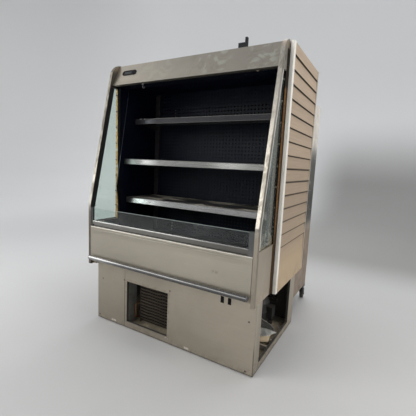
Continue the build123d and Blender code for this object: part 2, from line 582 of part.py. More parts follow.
# honeycomb that straightens the air curtain
with BuildPart() as air_honeycomb:
    box(-552, 552, 230, 300, 1612, 1636)
    with BuildSketch(Plane.XY.offset(1605)) as cells:
        with Locations((0, 265 - YC)):
            with GridLocations(16.5, 16, 66, 4):
                RegularPolygon(6.8, 6)
    extrude(amount=40, mode=Mode.SUBTRACT)

with BuildPart() as light_tube:
    rod_x(-520, 520, 218, 1630, 8)
    for s in (-1, 1):
        rod_x(s * 520, s * 536, 218, 1630, 9.5)
        box(s * 536, s * 553, 208, 227, 1620, 1640)

FACE_T = (0.0, 0.4345, 0.9007)      # up the leaning fascia
FACE_N = (0.0, -0.9007, 0.4345)     # out of the fascia
DISPLAY = (-464.5, 223.0 - YC, 1695.0)
with BuildPart() as display_bezel:
    with BuildSketch(Plane(origin=DISPLAY, x_dir=(1, 0, 0), z_dir=FACE_N)) as pill:
        SlotOverall(122, 38)
    extrude(amount=5)
    chamfer(display_bezel.faces().sort_by(Axis(DISPLAY, FACE_N))[-1].edges(), length=1.5)
    with BuildSketch(Plane(origin=DISPLAY, x_dir=(1, 0, 0), z_dir=FACE_N).offset(4)) as window:
        with Locations((-8, 0)):
            RectangleRounded(62, 20, 4)
    extrude(amount=3, mode=Mode.SUBTRACT)

# angle bracket standing on the roof
with BuildPart() as roof_bracket:
    box(304, 365, Y_POST + 1, 286, Z_TOP, Z_TOP + 3)
    box(308, 348, Y_POST + 3, 279, Z_TOP + 3, 1785)
    box(348, 361, Y_POST + 3, 279, Z_TOP + 3, 1811)
    fillet(roof_bracket.edges().filter_by(Axis.Y).group_by(Axis.Z)[-1], radius=1.5)

# ------------------------------------------------------------------- shelves

with BuildPart() as shelf_top:
    y0, zt = SHELVES["top"]
    box(-SHELF_HALF, SHELF_HALF, y0, SHELF_REAR - 8, zt - 1.5, zt)
    box(-SHELF_HALF, SHELF_HALF, y0, y0 + 1.5, zt - 30, zt - 1.5)
    box(-SHELF_HALF, SHELF_HALF, SHELF_REAR - 9.5, SHELF_REAR - 8, zt - 22, zt - 1.5)
    for s in (-1, 1):
        with BuildSketch(Plane.YZ.offset(s * 526 - 1.5)) as bracket:
            with BuildLine():
                Polyline(*yz([(y0 + 1.5, zt - 1.5), (SHELF_REAR - 8, zt - 1.5), (SHELF_REAR, zt - 10), (SHELF_REAR, zt - 62),
                              (SHELF_REAR - 14, zt - 62), (y0 + 1.5, zt - 24)]), close=True)
            make_face()
        extrude(amount=3)
        box(s * 526 - 1.5, s * 526 + 1.5, SHELF_REAR, UPRIGHT_Y + 7, zt - 18, zt - 10)

with BuildPart() as price_rail_top:
    y0, zt = SHELVES["top"]
    with BuildSketch(Plane.YZ.offset(-SHELF_HALF)) as rail_side:
        with BuildLine():
            Polyline(*yz([(y0, zt), (y0 - 6, zt), (y0 - 8, zt - 3), (y0 - 11, zt - RAIL_H + 3), (y0 - 9, zt - RAIL_H),
                          (y0 - 2, zt - RAIL_H), (y0 - 2, zt - RAIL_H + 2), (y0 - 8.4, zt - RAIL_H + 3), (y0 - 5.6, zt - 4), (y0, zt - 4)]), close=True)
        make_face()
    extrude(amount=2 * SHELF_HALF)

with BuildPart() as shelf_middle:
    y0, zt = SHELVES["middle"]
    box(-SHELF_HALF, SHELF_HALF, y0, SHELF_REAR - 8, zt - 1.5, zt)
    box(-SHELF_HALF, SHELF_HALF, y0, y0 + 1.5, zt - 30, zt - 1.5)
    box(-SHELF_HALF, SHELF_HALF, SHELF_REAR - 9.5, SHELF_REAR - 8, zt - 22, zt - 1.5)
    for s in (-1, 1):
        with BuildSketch(Plane.YZ.offset(s * 526 - 1.5)) as bracket:
            with BuildLine():
                Polyline(*yz([(y0 + 1.5, zt - 1.5), (SHELF_REAR - 8, zt - 1.5), (SHELF_REAR, zt - 10), (SHELF_REAR, zt - 62),
                              (SHELF_REAR - 14, zt - 62), (y0 + 1.5, zt - 24)]), close=True)
            make_face()
        extrude(amount=3)
        box(s * 526 - 1.5, s * 526 + 1.5, SHELF_REAR, UPRIGHT_Y + 7, zt - 18, zt - 10)

with BuildPart() as price_rail_middle:
    y0, zt = SHELVES["middle"]
    with BuildSketch(Plane.YZ.offset(-SHELF_HALF)) as rail_side:
        with BuildLine():
            Polyline(*yz([(y0, zt), (y0 - 6, zt), (y0 - 8, zt - 3), (y0 - 11, zt - RAIL_H + 3), (y0 - 9, zt - RAIL_H),
                          (y0 - 2, zt - RAIL_H), (y0 - 2, zt - RAIL_H + 2), (y0 - 8.4, zt - RAIL_H + 3), (y0 - 5.6, zt - 4), (y0, zt - 4)]), close=True)
        make_face()
    extrude(amount=2 * SHELF_HALF)

with BuildPart() as shelf_bottom:
    y0, zt = SHELVES["bottom"]
    box(-SHELF_HALF, SHELF_HALF, y0, SHELF_REAR - 8, zt - 1.5, zt)
    box(-SHELF_HALF, SHELF_HALF, y0, y0 + 1.5, zt - 30, zt - 1.5)
    box(-SHELF_HALF, SHELF_HALF, SHELF_REAR - 9.5, SHELF_REAR - 8, zt - 22, zt - 1.5)
    for s in (-1, 1):
        with BuildSketch(Plane.YZ.offset(s * 526 - 1.5)) as bracket:
            with BuildLine():
                Polyline(*yz([(y0 + 1.5, zt - 1.5), (SHELF_REAR - 8, zt - 1.5), (SHELF_REAR, zt - 10), (SHELF_REAR, zt - 62),
                              (SHELF_REAR - 14, zt - 62), (y0 + 1.5, zt - 24)]), close=True)
            make_face()
        extrude(amount=3)
        box(s * 526 - 1.5, s * 526 + 1.5, SHELF_REAR, UPRIGHT_Y + 7, zt - 18, zt - 10)

with BuildPart() as price_rail_bottom:
    y0, zt = SHELVES["bottom"]
    with BuildSketch(Plane.YZ.offset(-SHELF_HALF)) as rail_side:
        with BuildLine():
            Polyline(*yz([(y0, zt), (y0 - 6, zt), (y0 - 8, zt - 3), (y0 - 11, zt - RAIL_H + 3), (y0 - 9, zt - RAIL_H),
                          (y0 - 2, zt - RAIL_H), (y0 - 2, zt - RAIL_H + 2), (y0 - 8.4, zt - RAIL_H + 3), (y0 - 5.6, zt - 4), (y0, zt - 4)]), close=True)
        make_face()
    extrude(amount=2 * SHELF_HALF)

# ------------------------------------------------- evaporator in the casing
with BuildPart() as evaporator_coil:
    box(-500, -497, 800, 980, 720, 1040)
    box(497, 500, 800, 980, 720, 1040)
    for k in range(0, 9):
        x = -448 + k * 112
        box(x - 0.6, x + 0.6, 805, 975, 724, 1036)
    for z in (760, 840, 920, 1000):
        for y in (840, 940):
            rod_x(-497, 497, y, z, 6)
    box(-HALF_C + CASE_WALL, -500, 880, 900, 720, 726)
    box(500, HALF_C - CASE_WALL, 880, 900, 720, 726)

with BuildPart() as evaporator_fan_plate:
    box(-545, 545, 730, Y_BODY - 3, 640, 643)
    box(-HALF_C + CASE_WALL, HALF_C - CASE_WALL, Y_BODY - 3, CASE_REAR - CASE_WALL, 640, 643)
    rod_z(EVAP_FAN_X, EVAP_FAN_Y, 643, 676, 124)
    rod_z(EVAP_FAN_X, EVAP_FAN_Y, 630, 680, 121, mode=Mode.SUBTRACT)
    box(EVAP_FAN_X - 123, EVAP_FAN_X + 123, EVAP_FAN_Y - 8, EVAP_FAN_Y + 8, 640, 643)
    rod_z(EVAP_FAN_X, EVAP_FAN_Y, 600, 643, 34)
    rod_z(EVAP_FAN_X, EVAP_FAN_Y, 615, 650, 3.06, mode=Mode.SUBTRACT)

with BuildPart() as evaporator_fan:
    rod_z(EVAP_FAN_X, EVAP_FAN_Y, 648, 672, 24)
    rod_z(EVAP_FAN_X, EVAP_FAN_Y, 618, 648, 3.0)
    for a in range(0, 360, 72):
        with Locations(Location((EVAP_FAN_X, EVAP_FAN_Y - YC, 660), (0, 0, a))):
            with Locations(Location((66, 0, 0), (28, 0, 0))):
                Box(92, 44, 2)
    with BuildSketch(Plane.XY.offset(630)) as tip_ring:
        with Locations((EVAP_FAN_X, EVAP_FAN_Y - YC)):
            Circle(190)
            Circle(113, mode=Mode.SUBTRACT)
    extrude(amount=60, mode=Mode.SUBTRACT)

# ------------------------------------------------------------------- castors
with BuildPart() as castor_mounts:
    for s in (-1, 1):
        box(s * (HALF_C - 78), s * HALF_C, CASTOR_Y - 46, CASE_REAR, 106, CASE_BOTTOM)
        box(s * (HALF_C - 75), s * (HALF_C - 3), CASTOR_Y - 60, CASE_REAR - 3, 110, CASE_BOTTOM - 3, mode=Mode.SUBTRACT)
        rod_z(s * CASTOR_X, CASTOR_Y, 95, 106, 17)
        rod_z(s * CASTOR_X, CASTOR_Y, 90, 116, 7.05, mode=Mode.SUBTRACT)

with BuildPart() as castor_fork_left:
    rod_z(-1 * CASTOR_X, CASTOR_Y, 86, 94.6, 16.5)
    rod_z(-1 * CASTOR_X, CASTOR_Y, 94.6, 112, 7.0)
    box(-1 * CASTOR_X - 17, -1 * CASTOR_X + 17, CASTOR_Y - 16, CASTOR_Y + 36, 82, 86)
    for s in (-1, 1):
        with BuildSketch(Plane.YZ.offset(-1 * CASTOR_X + s * 15.5 - 1.5)) as cheek:
            with BuildLine():
                Polyline(*yz([(CASTOR_Y - 16, 86), (CASTOR_Y + 36, 86), (CASTOR_Y + CASTOR_TRAIL + 11, WHEEL_R - 9),
                              (CASTOR_Y + CASTOR_TRAIL - 9, WHEEL_R - 9)]), close=True)
            make_face()
        extrude(amount=3)
    rod_x(-1 * CASTOR_X - 20, -1 * CASTOR_X + 20, CASTOR_Y + CASTOR_TRAIL, WHEEL_R, 5)

with BuildPart() as castor_wheel_left:
    with BuildSketch(Plane.YZ.offset(-1 * CASTOR_X - WHEEL_W / 2)) as tread:
        with Locations((CASTOR_Y + CASTOR_TRAIL - YC, WHEEL_R)):
            Circle(WHEEL_R)
    extrude(amount=WHEEL_W)
    fillet(castor_wheel_left.edges().filter_by(GeomType.CIRCLE), radius=3)
    rod_x(-1 * CASTOR_X - WHEEL_W, -1 * CASTOR_X - 8, CASTOR_Y + CASTOR_TRAIL, WHEEL_R, 26, mode=Mode.SUBTRACT)
    rod_x(-1 * CASTOR_X + 8, -1 * CASTOR_X + WHEEL_W, CASTOR_Y + CASTOR_TRAIL, WHEEL_R, 26, mode=Mode.SUBTRACT)
    rod_x(-1 * CASTOR_X - WHEEL_W / 2, -1 * CASTOR_X + WHEEL_W / 2, CASTOR_Y + CASTOR_TRAIL, WHEEL_R, 11)
    rod_x(-1 * CASTOR_X - WHEEL_W, -1 * CASTOR_X + WHEEL_W, CASTOR_Y + CASTOR_TRAIL, WHEEL_R, 5.06, mode=Mode.SUBTRACT)

with BuildPart() as castor_fork_right:
    rod_z(1 * CASTOR_X, CASTOR_Y, 86, 94.6, 16.5)
    rod_z(1 * CASTOR_X, CASTOR_Y, 94.6, 112, 7.0)
    box(1 * CASTOR_X - 17, 1 * CASTOR_X + 17, CASTOR_Y - 16, CASTOR_Y + 36, 82, 86)
    for s in (-1, 1):
        with BuildSketch(Plane.YZ.offset(1 * CASTOR_X + s * 15.5 - 1.5)) as cheek:
            with BuildLine():
                Polyline(*yz([(CASTOR_Y - 16, 86), (CASTOR_Y + 36, 86), (CASTOR_Y + CASTOR_TRAIL + 11, WHEEL_R - 9),
                              (CASTOR_Y + CASTOR_TRAIL - 9, WHEEL_R - 9)]), close=True)
            make_face()
        extrude(amount=3)
    rod_x(1 * CASTOR_X - 20, 1 * CASTOR_X + 20, CASTOR_Y + CASTOR_TRAIL, WHEEL_R, 5)

with BuildPart() as castor_wheel_right:
    with BuildSketch(Plane.YZ.offset(1 * CASTOR_X - WHEEL_W / 2)) as tread:
        with Locations((CASTOR_Y + CASTOR_TRAIL - YC, WHEEL_R)):
            Circle(WHEEL_R)
    extrude(amount=WHEEL_W)
    fillet(castor_wheel_right.edges().filter_by(GeomType.CIRCLE), radius=3)
    rod_x(1 * CASTOR_X - WHEEL_W, 1 * CASTOR_X - 8, CASTOR_Y + CASTOR_TRAIL, WHEEL_R, 26, mode=Mode.SUBTRACT)
    rod_x(1 * CASTOR_X + 8, 1 * CASTOR_X + WHEEL_W, CASTOR_Y + CASTOR_TRAIL, WHEEL_R, 26, mode=Mode.SUBTRACT)
    rod_x(1 * CASTOR_X - WHEEL_W / 2, 1 * CASTOR_X + WHEEL_W / 2, CASTOR_Y + CASTOR_TRAIL, WHEEL_R, 11)
    rod_x(1 * CASTOR_X - WHEEL_W, 1 * CASTOR_X + WHEEL_W, CASTOR_Y + CASTOR_TRAIL, WHEEL_R, 5.06, mode=Mode.SUBTRACT)

# ---------------------------------------------------------- labels and files
base_pan.part.label = "base_pan"
export_step(base_pan.part, "parts/base_pan.step")
base_front_panel.part.label = "base_front_panel"
export_step(base_front_panel.part, "parts/base_front_panel.step")
base_side_panel_left.part.label = "base_side_panel_left"
export_step(base_side_panel_left.part, "parts/base_side_panel_left.step")
base_side_panel_right.part.label = "base_side_panel_right"
export_step(base_side_panel_right.part, "parts/base_side_panel_right.step")
air_baffle.part.label = "air_baffle"
export_step(air_baffle.part, "parts/air_baffle.step")
screws.part.label = "screws"
export_step(screws.part, "parts/screws.step")
switch_bezels.part.label = "switch_bezels"
export_step(switch_bezels.part, "parts/switch_bezels.step")
rocker_left.part.label = "rocker_left"
export_step(rocker_left.part, "parts/rocker_left.step")
rocker_right.part.label = "rocker_right"
export_step(rocker_right.part, "parts/rocker_right.step")
condenser_coil.part.label = "condenser_coil"
export_step(condenser_coil.part, "parts/condenser_coil.step")
condenser_fan_shroud.part.label = "condenser_fan_shroud"
export_step(condenser_fan_shroud.part, "parts/condenser_fan_shroud.step")
condenser_fan.part.label = "condenser_fan"
export_step(condenser_fan.part, "parts/condenser_fan.step")
compressor.part.label = "compressor"
export_step(compressor.part, "parts/compressor.step")
refrigerant_pipes.part.label = "refrigerant_pipes"
export_step(refrigerant_pipes.part, "parts/refrigerant_pipes.step")
evaporation_tray.part.label = "evaporation_tray"
export_step(evaporation_tray.part, "parts/evaporation_tray.step")
tub.part.label = "tub"
export_step(tub.part, "parts/tub.step")
insulated_wall_left.part.label = "insulated_wall_left"
export_step(insulated_wall_left.part, "parts/insulated_wall_left.step")
insulated_wall_right.part.label = "insulated_wall_right"
export_step(insulated_wall_right.part, "parts/insulated_wall_right.step")
roof_panel.part.label = "roof_panel"
export_step(roof_panel.part, "parts/roof_panel.step")
rear_casing.part.label = "rear_casing"
export_step(rear_casing.part, "parts/rear_casing.step")
cable_gland.part.label = "cable_gland"
export_step(cable_gland.part, "parts/cable_gland.step")
back_panel.part.label = "back_panel"
export_step(back_panel.part, "parts/back_panel.step")
slotted_uprights.part.label = "slotted_uprights"
export_step(slotted_uprights.part, "parts/slotted_uprights.step")
deck_tray.part.label = "deck_tray"
export_step(deck_tray.part, "parts/deck_tray.step")
return_air_grille.part.label = "return_air_grille"
export_step(return_air_grille.part, "parts/return_air_grille.step")
front_panel.part.label = "front_panel"
export_step(front_panel.part, "parts/front_panel.step")
bumper_tube.part.label = "bumper_tube"
export_step(bumper_tube.part, "parts/bumper_tube.step")
bumper_end_caps.part.label = "bumper_end_caps"
export_step(bumper_end_caps.part, "parts/bumper_end_caps.step")
riser_rail.part.label = "riser_rail"
export_step(riser_rail.part, "parts/riser_rail.step")
riser_glass.part.label = "riser_glass"
export_step(riser_glass.part, "parts/riser_glass.step")
riser_end_posts.part.label = "riser_end_posts"
export_step(riser_end_posts.part, "parts/riser_end_posts.step")
side_frame_left.part.label = "side_frame_left"
export_step(side_frame_left.part, "parts/side_frame_left.step")
side_frame_right.part.label = "side_frame_right"
export_step(side_frame_right.part, "parts/side_frame_right.step")
side_glass_left.part.label = "side_glass_left"
export_step(side_glass_left.part, "parts/side_glass_left.step")
side_glass_right.part.label = "side_glass_right"
export_step(side_glass_right.part, "parts/side_glass_right.step")
side_lower_panel_left.part.label = "side_lower_panel_left"
export_step(side_lower_panel_left.part, "parts/side_lower_panel_left.step")
side_lower_panel_right.part.label = "side_lower_panel_right"
export_step(side_lower_panel_right.part, "parts/side_lower_panel_right.step")
corner_posts.part.label = "corner_posts"
export_step(corner_posts.part, "parts/corner_posts.step")
cladding_left.part.label = "cladding_left"
export_step(cladding_left.part, "parts/cladding_left.step")
cladding_right.part.label = "cladding_right"
export_step(cladding_right.part, "parts/cladding_right.step")
canopy_fascia.part.label = "canopy_fascia"
export_step(canopy_fascia.part, "parts/canopy_fascia.step")
canopy_soffit.part.label = "canopy_soffit"
export_step(canopy_soffit.part, "parts/canopy_soffit.step")
air_honeycomb.part.label = "air_honeycomb"
export_step(air_honeycomb.part, "parts/air_honeycomb.step")
light_tube.part.label = "light_tube"
export_step(light_tube.part, "parts/light_tube.step")
display_bezel.part.label = "display_bezel"
export_step(display_bezel.part, "parts/display_bezel.step")
roof_bracket.part.label = "roof_bracket"
export_step(roof_bracket.part, "parts/roof_bracket.step")
shelf_top.part.label = "shelf_top"
export_step(shelf_top.part, "parts/shelf_top.step")
price_rail_top.part.label = "price_rail_top"
export_step(price_rail_top.part, "parts/price_rail_top.step")
shelf_middle.part.label = "shelf_middle"
export_step(shelf_middle.part, "parts/shelf_middle.step")
price_rail_middle.part.label = "price_rail_middle"
export_step(price_rail_middle.part, "parts/price_rail_middle.step")
shelf_bottom.part.label = "shelf_bottom"
export_step(shelf_bottom.part, "parts/shelf_bottom.step")
price_rail_bottom.part.label = "price_rail_bottom"
export_step(price_rail_bottom.part, "parts/price_rail_bottom.step")
evaporator_coil.part.label = "evaporator_coil"
export_step(evaporator_coil.part, "parts/evaporator_coil.step")
evaporator_fan_plate.part.label = "evaporator_fan_plate"
export_step(evaporator_fan_plate.part, "parts/evaporator_fan_plate.step")
evaporator_fan.part.label = "evaporator_fan"
export_step(evaporator_fan.part, "parts/evaporator_fan.step")
castor_mounts.part.label = "castor_mounts"
export_step(castor_mounts.part, "parts/castor_mounts.step")
castor_fork_left.part.label = "castor_fork_left"
export_step(castor_fork_left.part, "parts/castor_fork_left.step")
castor_wheel_left.part.label = "castor_wheel_left"
export_step(castor_wheel_left.part, "parts/castor_wheel_left.step")
castor_fork_right.part.label = "castor_fork_right"
export_step(castor_fork_right.part, "parts/castor_fork_right.step")
castor_wheel_right.part.label = "castor_wheel_right"
export_step(castor_wheel_right.part, "parts/castor_wheel_right.step")
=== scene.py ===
import math
import random

import bpy
import bmesh
from mathutils import Matrix, Vector


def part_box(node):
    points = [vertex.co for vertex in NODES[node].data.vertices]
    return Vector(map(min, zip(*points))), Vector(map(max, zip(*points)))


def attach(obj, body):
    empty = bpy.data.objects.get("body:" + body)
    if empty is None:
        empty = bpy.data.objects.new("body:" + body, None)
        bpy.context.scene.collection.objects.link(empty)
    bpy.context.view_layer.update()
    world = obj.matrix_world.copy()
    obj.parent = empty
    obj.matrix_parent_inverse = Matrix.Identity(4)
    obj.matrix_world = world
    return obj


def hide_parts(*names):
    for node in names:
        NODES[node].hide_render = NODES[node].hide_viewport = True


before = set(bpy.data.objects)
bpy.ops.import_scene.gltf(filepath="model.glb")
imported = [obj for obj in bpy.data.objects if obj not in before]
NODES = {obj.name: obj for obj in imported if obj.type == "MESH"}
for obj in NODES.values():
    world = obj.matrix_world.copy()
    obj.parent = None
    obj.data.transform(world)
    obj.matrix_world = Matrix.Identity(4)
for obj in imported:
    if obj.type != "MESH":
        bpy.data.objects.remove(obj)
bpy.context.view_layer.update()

# depths are counted from the front plane of the side frames; the bumper tube stands 32 mm before it
YC = -0.032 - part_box("bumper_tube")[0][1]
rng = random.Random(7)


# ------------------------------------------------------------------ materials
class Mat:
    """A procedural material: colour, roughness and metal are built up in layers."""

    def __init__(self, name, color, rough, metal=0.0, **const):
        self.m = bpy.data.materials.new(name)
        self.m.use_nodes = True
        self.t = self.m.node_tree
        self.t.nodes.clear()
        self.out = self.t.nodes.new("ShaderNodeOutputMaterial")
        self.p = self.t.nodes.new("ShaderNodeBsdfPrincipled")
        self.t.links.new(self.p.outputs[0], self.out.inputs[0])
        for k, v in const.items():
            self.p.inputs[k].default_value = v
        tc = self.t.nodes.new("ShaderNodeTexCoord")
        self.co = tc.outputs["Object"]
        sep = self.t.nodes.new("ShaderNodeSeparateXYZ")
        self.t.links.new(self.co, sep.inputs[0])
        self.x, self.yy, self.z = sep.outputs
        self.y = self.math("ADD", self.yy, YC)
        self.col, self.rgh, self.met = color, rough, metal
        self.trans = None
        self.heights = []

    def put(self, sock, v):
        if isinstance(v, bpy.types.NodeSocket):
            self.t.links.new(v, sock)
        elif isinstance(v, tuple) and len(v) == 3 and sock.type == "RGBA":
            sock.default_value = (*v, 1.0)
        else:
            sock.default_value = v

    def math(self, op, a, b=0.0, c=None, clamp=False):
        n = self.t.nodes.new("ShaderNodeMath")
        n.operation = op
        n.use_clamp = clamp
        self.put(n.inputs[0], a)
        self.put(n.inputs[1], b)
        if c is not None:
            self.put(n.inputs[2], c)
        return n.outputs[0]

    def mul(self, *v):
        r = v[0]
        for o in v[1:]:
            r = self.math("MULTIPLY", r, o)
        return r

    def stretch(self, sx, sy, sz, off=(0.0, 0.0, 0.0)):
        n = self.t.nodes.new("ShaderNodeMapping")
        n.inputs["Scale"].default_value = (sx, sy, sz)
        n.inputs["Location"].default_value = off
        self.t.links.new(self.co, n.inputs[0])
        return n.outputs[0]

    def noise(self, scale, detail=3.0, rough=0.55, vec=None, dist=0.0):
        n = self.t.nodes.new("ShaderNodeTexNoise")
        n.inputs["Scale"].default_value = scale
        n.inputs["Detail"].default_value = detail
        n.inputs["Roughness"].default_value = rough
        n.inputs["Distortion"].default_value = dist
        self.t.links.new(vec if vec is not None else self.co, n.inputs["Vector"])
        return n.outputs["Fac"]

    def cells(self, scale, vec=None, feature="F1"):
        n = self.t.nodes.new("ShaderNodeTexVoronoi")
        n.feature = feature
        n.inputs["Scale"].default_value = scale
        self.t.links.new(vec if vec is not None else self.co, n.inputs["Vector"])
        return n.outputs["Distance"]

    def step(self, v, a, b, lo=0.0, hi=1.0):
        n = self.t.nodes.new("ShaderNodeMapRange")
        n.interpolation_type = "SMOOTHSTEP"
        self.put(n.inputs[0], v)
        n.inputs[1].default_value, n.inputs[2].default_value = a, b
        n.inputs[3].default_value, n.inputs[4].default_value = lo, hi
        return n.outputs[0]

    def band(self, v, a, b, soft=0.001):
        return self.mul(self.step(v, a - soft, a + soft), self.step(v, b + soft, b - soft))

    def mix(self, f, a, b):
        n = self.t.nodes.new("ShaderNodeMix")
        n.data_type = "RGBA"
        self.put(n.inputs[0], f)
        self.put(n.inputs[6], a)
        self.put(n.inputs[7], b)
        return n.outputs[2]

    def mixf(self, f, a, b):
        n = self.t.nodes.new("ShaderNodeMix")
        n.data_type = "FLOAT"
        self.put(n.inputs[0], f)
        self.put(n.inputs[2], a)
        self.put(n.inputs[3], b)
        return n.outputs[0]

    def layer(self, mask, color=None, rough=None, metal=None, amount=1.0):
        f = self.math("MULTIPLY", mask, amount)
        if color is not None:
            self.col = self.mix(f, self.col, color)
        if rough is not None:
            self.rgh = self.mixf(f, self.rgh, rough)
        if metal is not None:
            self.met = self.mixf(f, self.met, metal)
        return self

    def tint(self, factor):
        """Multiply the colour by a value near one."""
        n = self.t.nodes.new("ShaderNodeVectorMath")
        n.operation = "SCALE"
        if isinstance(self.col, tuple):
            n.inputs[0].default_value = self.col
        else:
            self.t.links.new(self.col, n.inputs[0])
        self.t.links.new(factor, n.inputs[3])
        self.col = n.outputs[0]
        return self

    def vary(self, scale, amount, detail=4.0, vec=None, dist=0.0):
        n = self.noise(scale, detail, 0.6, vec, dist)
        return self.tint(self.step(n, 0.28, 0.72, 1.0 - amount, 1.0 + amount))

    def bump(self, height, depth, strength=1.0):
        self.heights.append((height, depth, strength))
        return self

    def up(self):
        """1 on faces that look up, 0 on walls and undersides."""
        g = self.t.nodes.new("ShaderNodeNewGeometry")
        s = self.t.nodes.new("ShaderNodeSeparateXYZ")
        self.t.links.new(g.outputs["True Normal"], s.inputs[0])
        return s.outputs[2]

    def facing(self, axis):
        g = self.t.nodes.new("ShaderNodeNewGeometry")
        s = self.t.nodes.new("ShaderNodeSeparateXYZ")
        self.t.links.new(g.outputs["True Normal"], s.inputs[0])
        return s.outputs[axis]

    def dust(self, color=(0.30, 0.26, 0.20), amount=0.7, scale=9.0):
        up = self.step(self.up(), 0.3, 0.9)
        n = self.step(self.noise(scale, 6.0, 0.62), 0.36, 0.62)
        return self.layer(self.mul(up, n), color, 0.85, 0.0, amount)

    def done(self):
        self.put(self.p.inputs["Base Color"], self.col)
        self.put(self.p.inputs["Roughness"], self.rgh)
        self.put(self.p.inputs["Metallic"], self.met)
        if self.trans is not None:
            self.put(self.p.inputs["Transmission Weight"], self.trans)
        normal = None
        for height, depth, strength in self.heights:
            b = self.t.nodes.new("ShaderNodeBump")
            b.inputs["Strength"].default_value = strength
            b.inputs["Distance"].default_value = depth
            self.t.links.new(height, b.inputs["Height"])
            if normal is not None:
                self.t.links.new(normal, b.inputs["Normal"])
            normal = b.outputs[0]
        if normal is not None:
            self.t.links.new(normal, self.p.inputs["Normal"])
        return self.m


def steel(name, tone, rough=0.42, brush="x", cloud=0.07, grain=0.05, smear=0.35, metal=0.92):
    """Satin stainless sheet: brushed grain, cloudy tone, wiped smears, fine scratches."""
    m = Mat(name, tone, rough, metal)
    along = {"x": (4.0, 260.0, 260.0), "y": (260.0, 4.0, 260.0), "z": (260.0, 260.0, 4.0)}[brush]
    g = m.noise(1.0, 3.0, 0.7, m.stretch(*along))
    m.tint(m.step(g, 0.25, 0.75, 1.0 - grain, 1.0 + grain))
    m.vary(2.3, cloud, 5.0, None, 0.6)
    n = m.noise(6.5, 7.0, 0.62, None, 1.4)
    s = m.step(n, 0.56, 0.70)
    m.layer(s, None, rough + 0.16, None, smear)
    m.layer(s, tuple(min(1.0, c * 1.14) for c in tone), None, None, smear * 0.6)
    wipe = m.step(m.noise(3.1, 6.0, 0.6, m.stretch(1.0, 1.0, 2.6, (3.0, 1.0, 7.0)), 2.0), 0.60, 0.74)
    m.layer(wipe, tuple(c * 0.90 for c in tone), rough - 0.06, None, smear * 0.7)
    scr = {"x": (9.0, 420.0, 420.0), "y": (420.0, 9.0, 420.0), "z": (420.0, 420.0, 9.0)}[brush]
    sc = m.step(m.noise(1.0, 1.0, 0.5, m.stretch(*scr, off=(5.0, 2.0, 1.0))), 0.70, 0.76)
    m.layer(sc, tuple(min(1.0, c * 1.25) for c in tone), rough - 0.08, None, 0.35)
    m.rgh = m.math("ADD", m.rgh, m.step(g, 0.2, 0.8, -0.05, 0.05))
    m.bump(g, 0.00012, 0.5)
    m.bump(m.noise(4.0, 2.0, 0.5), 0.006, 0.10)
    return m


def grime_low(m, z0, z1, color=(0.16, 0.135, 0.105), amount=0.6, scale=14.0):
    """Dirt that thickens towards the bottom edge."""
    n = m.step(m.noise(scale, 6.0, 0.65, None, 0.5), 0.36, 0.66)
    return m.layer(m.mul(m.step(m.z, z1, z0), n), color, 0.8, 0.1, amount)


def black(name, tone=(0.006, 0.0075, 0.012), rough=0.42, specks=0.35, **const):
    m = Mat(name, tone, rough, 0.0, **{"Specular IOR Level": 0.3, **const})
    m.vary(5.0, 0.22, 5.0)
    d = m.step(m.noise(34.0, 2.0, 0.6), 0.60, 0.76)
    m.layer(d, (0.045, 0.046, 0.048), 0.75, None, specks * 0.6)
    w = m.step(m.noise(5.0, 3.0, 0.55, None, 0.8), 0.54, 0.74)
    m.layer(w, (0.020, 0.021, 0.024), 0.62, None, specks)
    m.bump(m.noise(210.0, 2.0), 0.0002, 0.25)
    return m


def assign(node, mat):
    o = NODES[node]
    o.data.materials.clear()
    o.data.materials.append(mat)


WARM = (0.362, 0.331, 0.276)
PALE = (0.640, 0.590, 0.500)
BROWN = (0.332, 0.296, 0.242)

# front panel of the well: satin sheet, soft dents along its upper lip, painted shade to the left, a painted highlight
# on the lip and painted reflections just below it
m = steel("panel_steel", WARM, 0.46, "x", 0.035, 0.03, 0.22)
# painted shade: the sheet darkens towards the left
m.tint(m.step(m.x, -0.55, 0.50, 0.79, 1.09))
lip = m.step(m.z, 0.62, 0.672)
wob = m.noise(1.0, 3.0, 0.55, m.stretch(9.0, 1.0, 30.0))
m.bump(m.mul(wob, lip), 0.010, 0.55)
# painted highlight: a bright line along the top of the lip
m.layer(m.band(m.z, 0.6705, 0.676, 0.0008), (0.70, 0.67, 0.60), 0.28, None, 0.8)
thumb = m.mul(m.step(m.math("ABSOLUTE", m.math("SUBTRACT", m.x, 0.374)), 0.026, 0.006), m.step(m.math("ABSOLUTE", m.math("SUBTRACT", m.z, 0.561)), 0.013, 0.003))
m.layer(m.mul(thumb, m.step(m.noise(38.0, 3.0, 0.6, None, 1.6), 0.30, 0.62)), (0.20, 0.18, 0.155), 0.62, None, 0.55)
# painted reflections: a light wavy line and dark wavy lines just below the lip
zz = m.math("ADD", m.z, m.math("MULTIPLY", m.math("SUBTRACT", wob, 0.5), 0.016))
m.layer(m.mul(m.band(zz, 0.6555, 0.6585, 0.0008), m.band(m.x, -0.44, 0.02, 0.12)), (0.56, 0.53, 0.46), 0.30, None, 0.55)
m.layer(m.mul(m.band(zz, 0.6600, 0.6635, 0.0008), m.band(m.x, -0.20, 0.50, 0.16)), (0.205, 0.195, 0.165), 0.40, None, 0.60)
m.layer(m.mul(m.band(zz, 0.6475, 0.6500, 0.0008), m.band(m.x, 0.02, 0.52, 0.14)), (0.215, 0.200, 0.170), 0.40, None, 0.45)
m.layer(m.mul(m.step(m.z, 0.470, 0.440), m.step(m.noise(20.0, 5.0), 0.40, 0.60)), (0.25, 0.215, 0.17), 0.62, None, 0.5)
assign("front_panel", m.done())


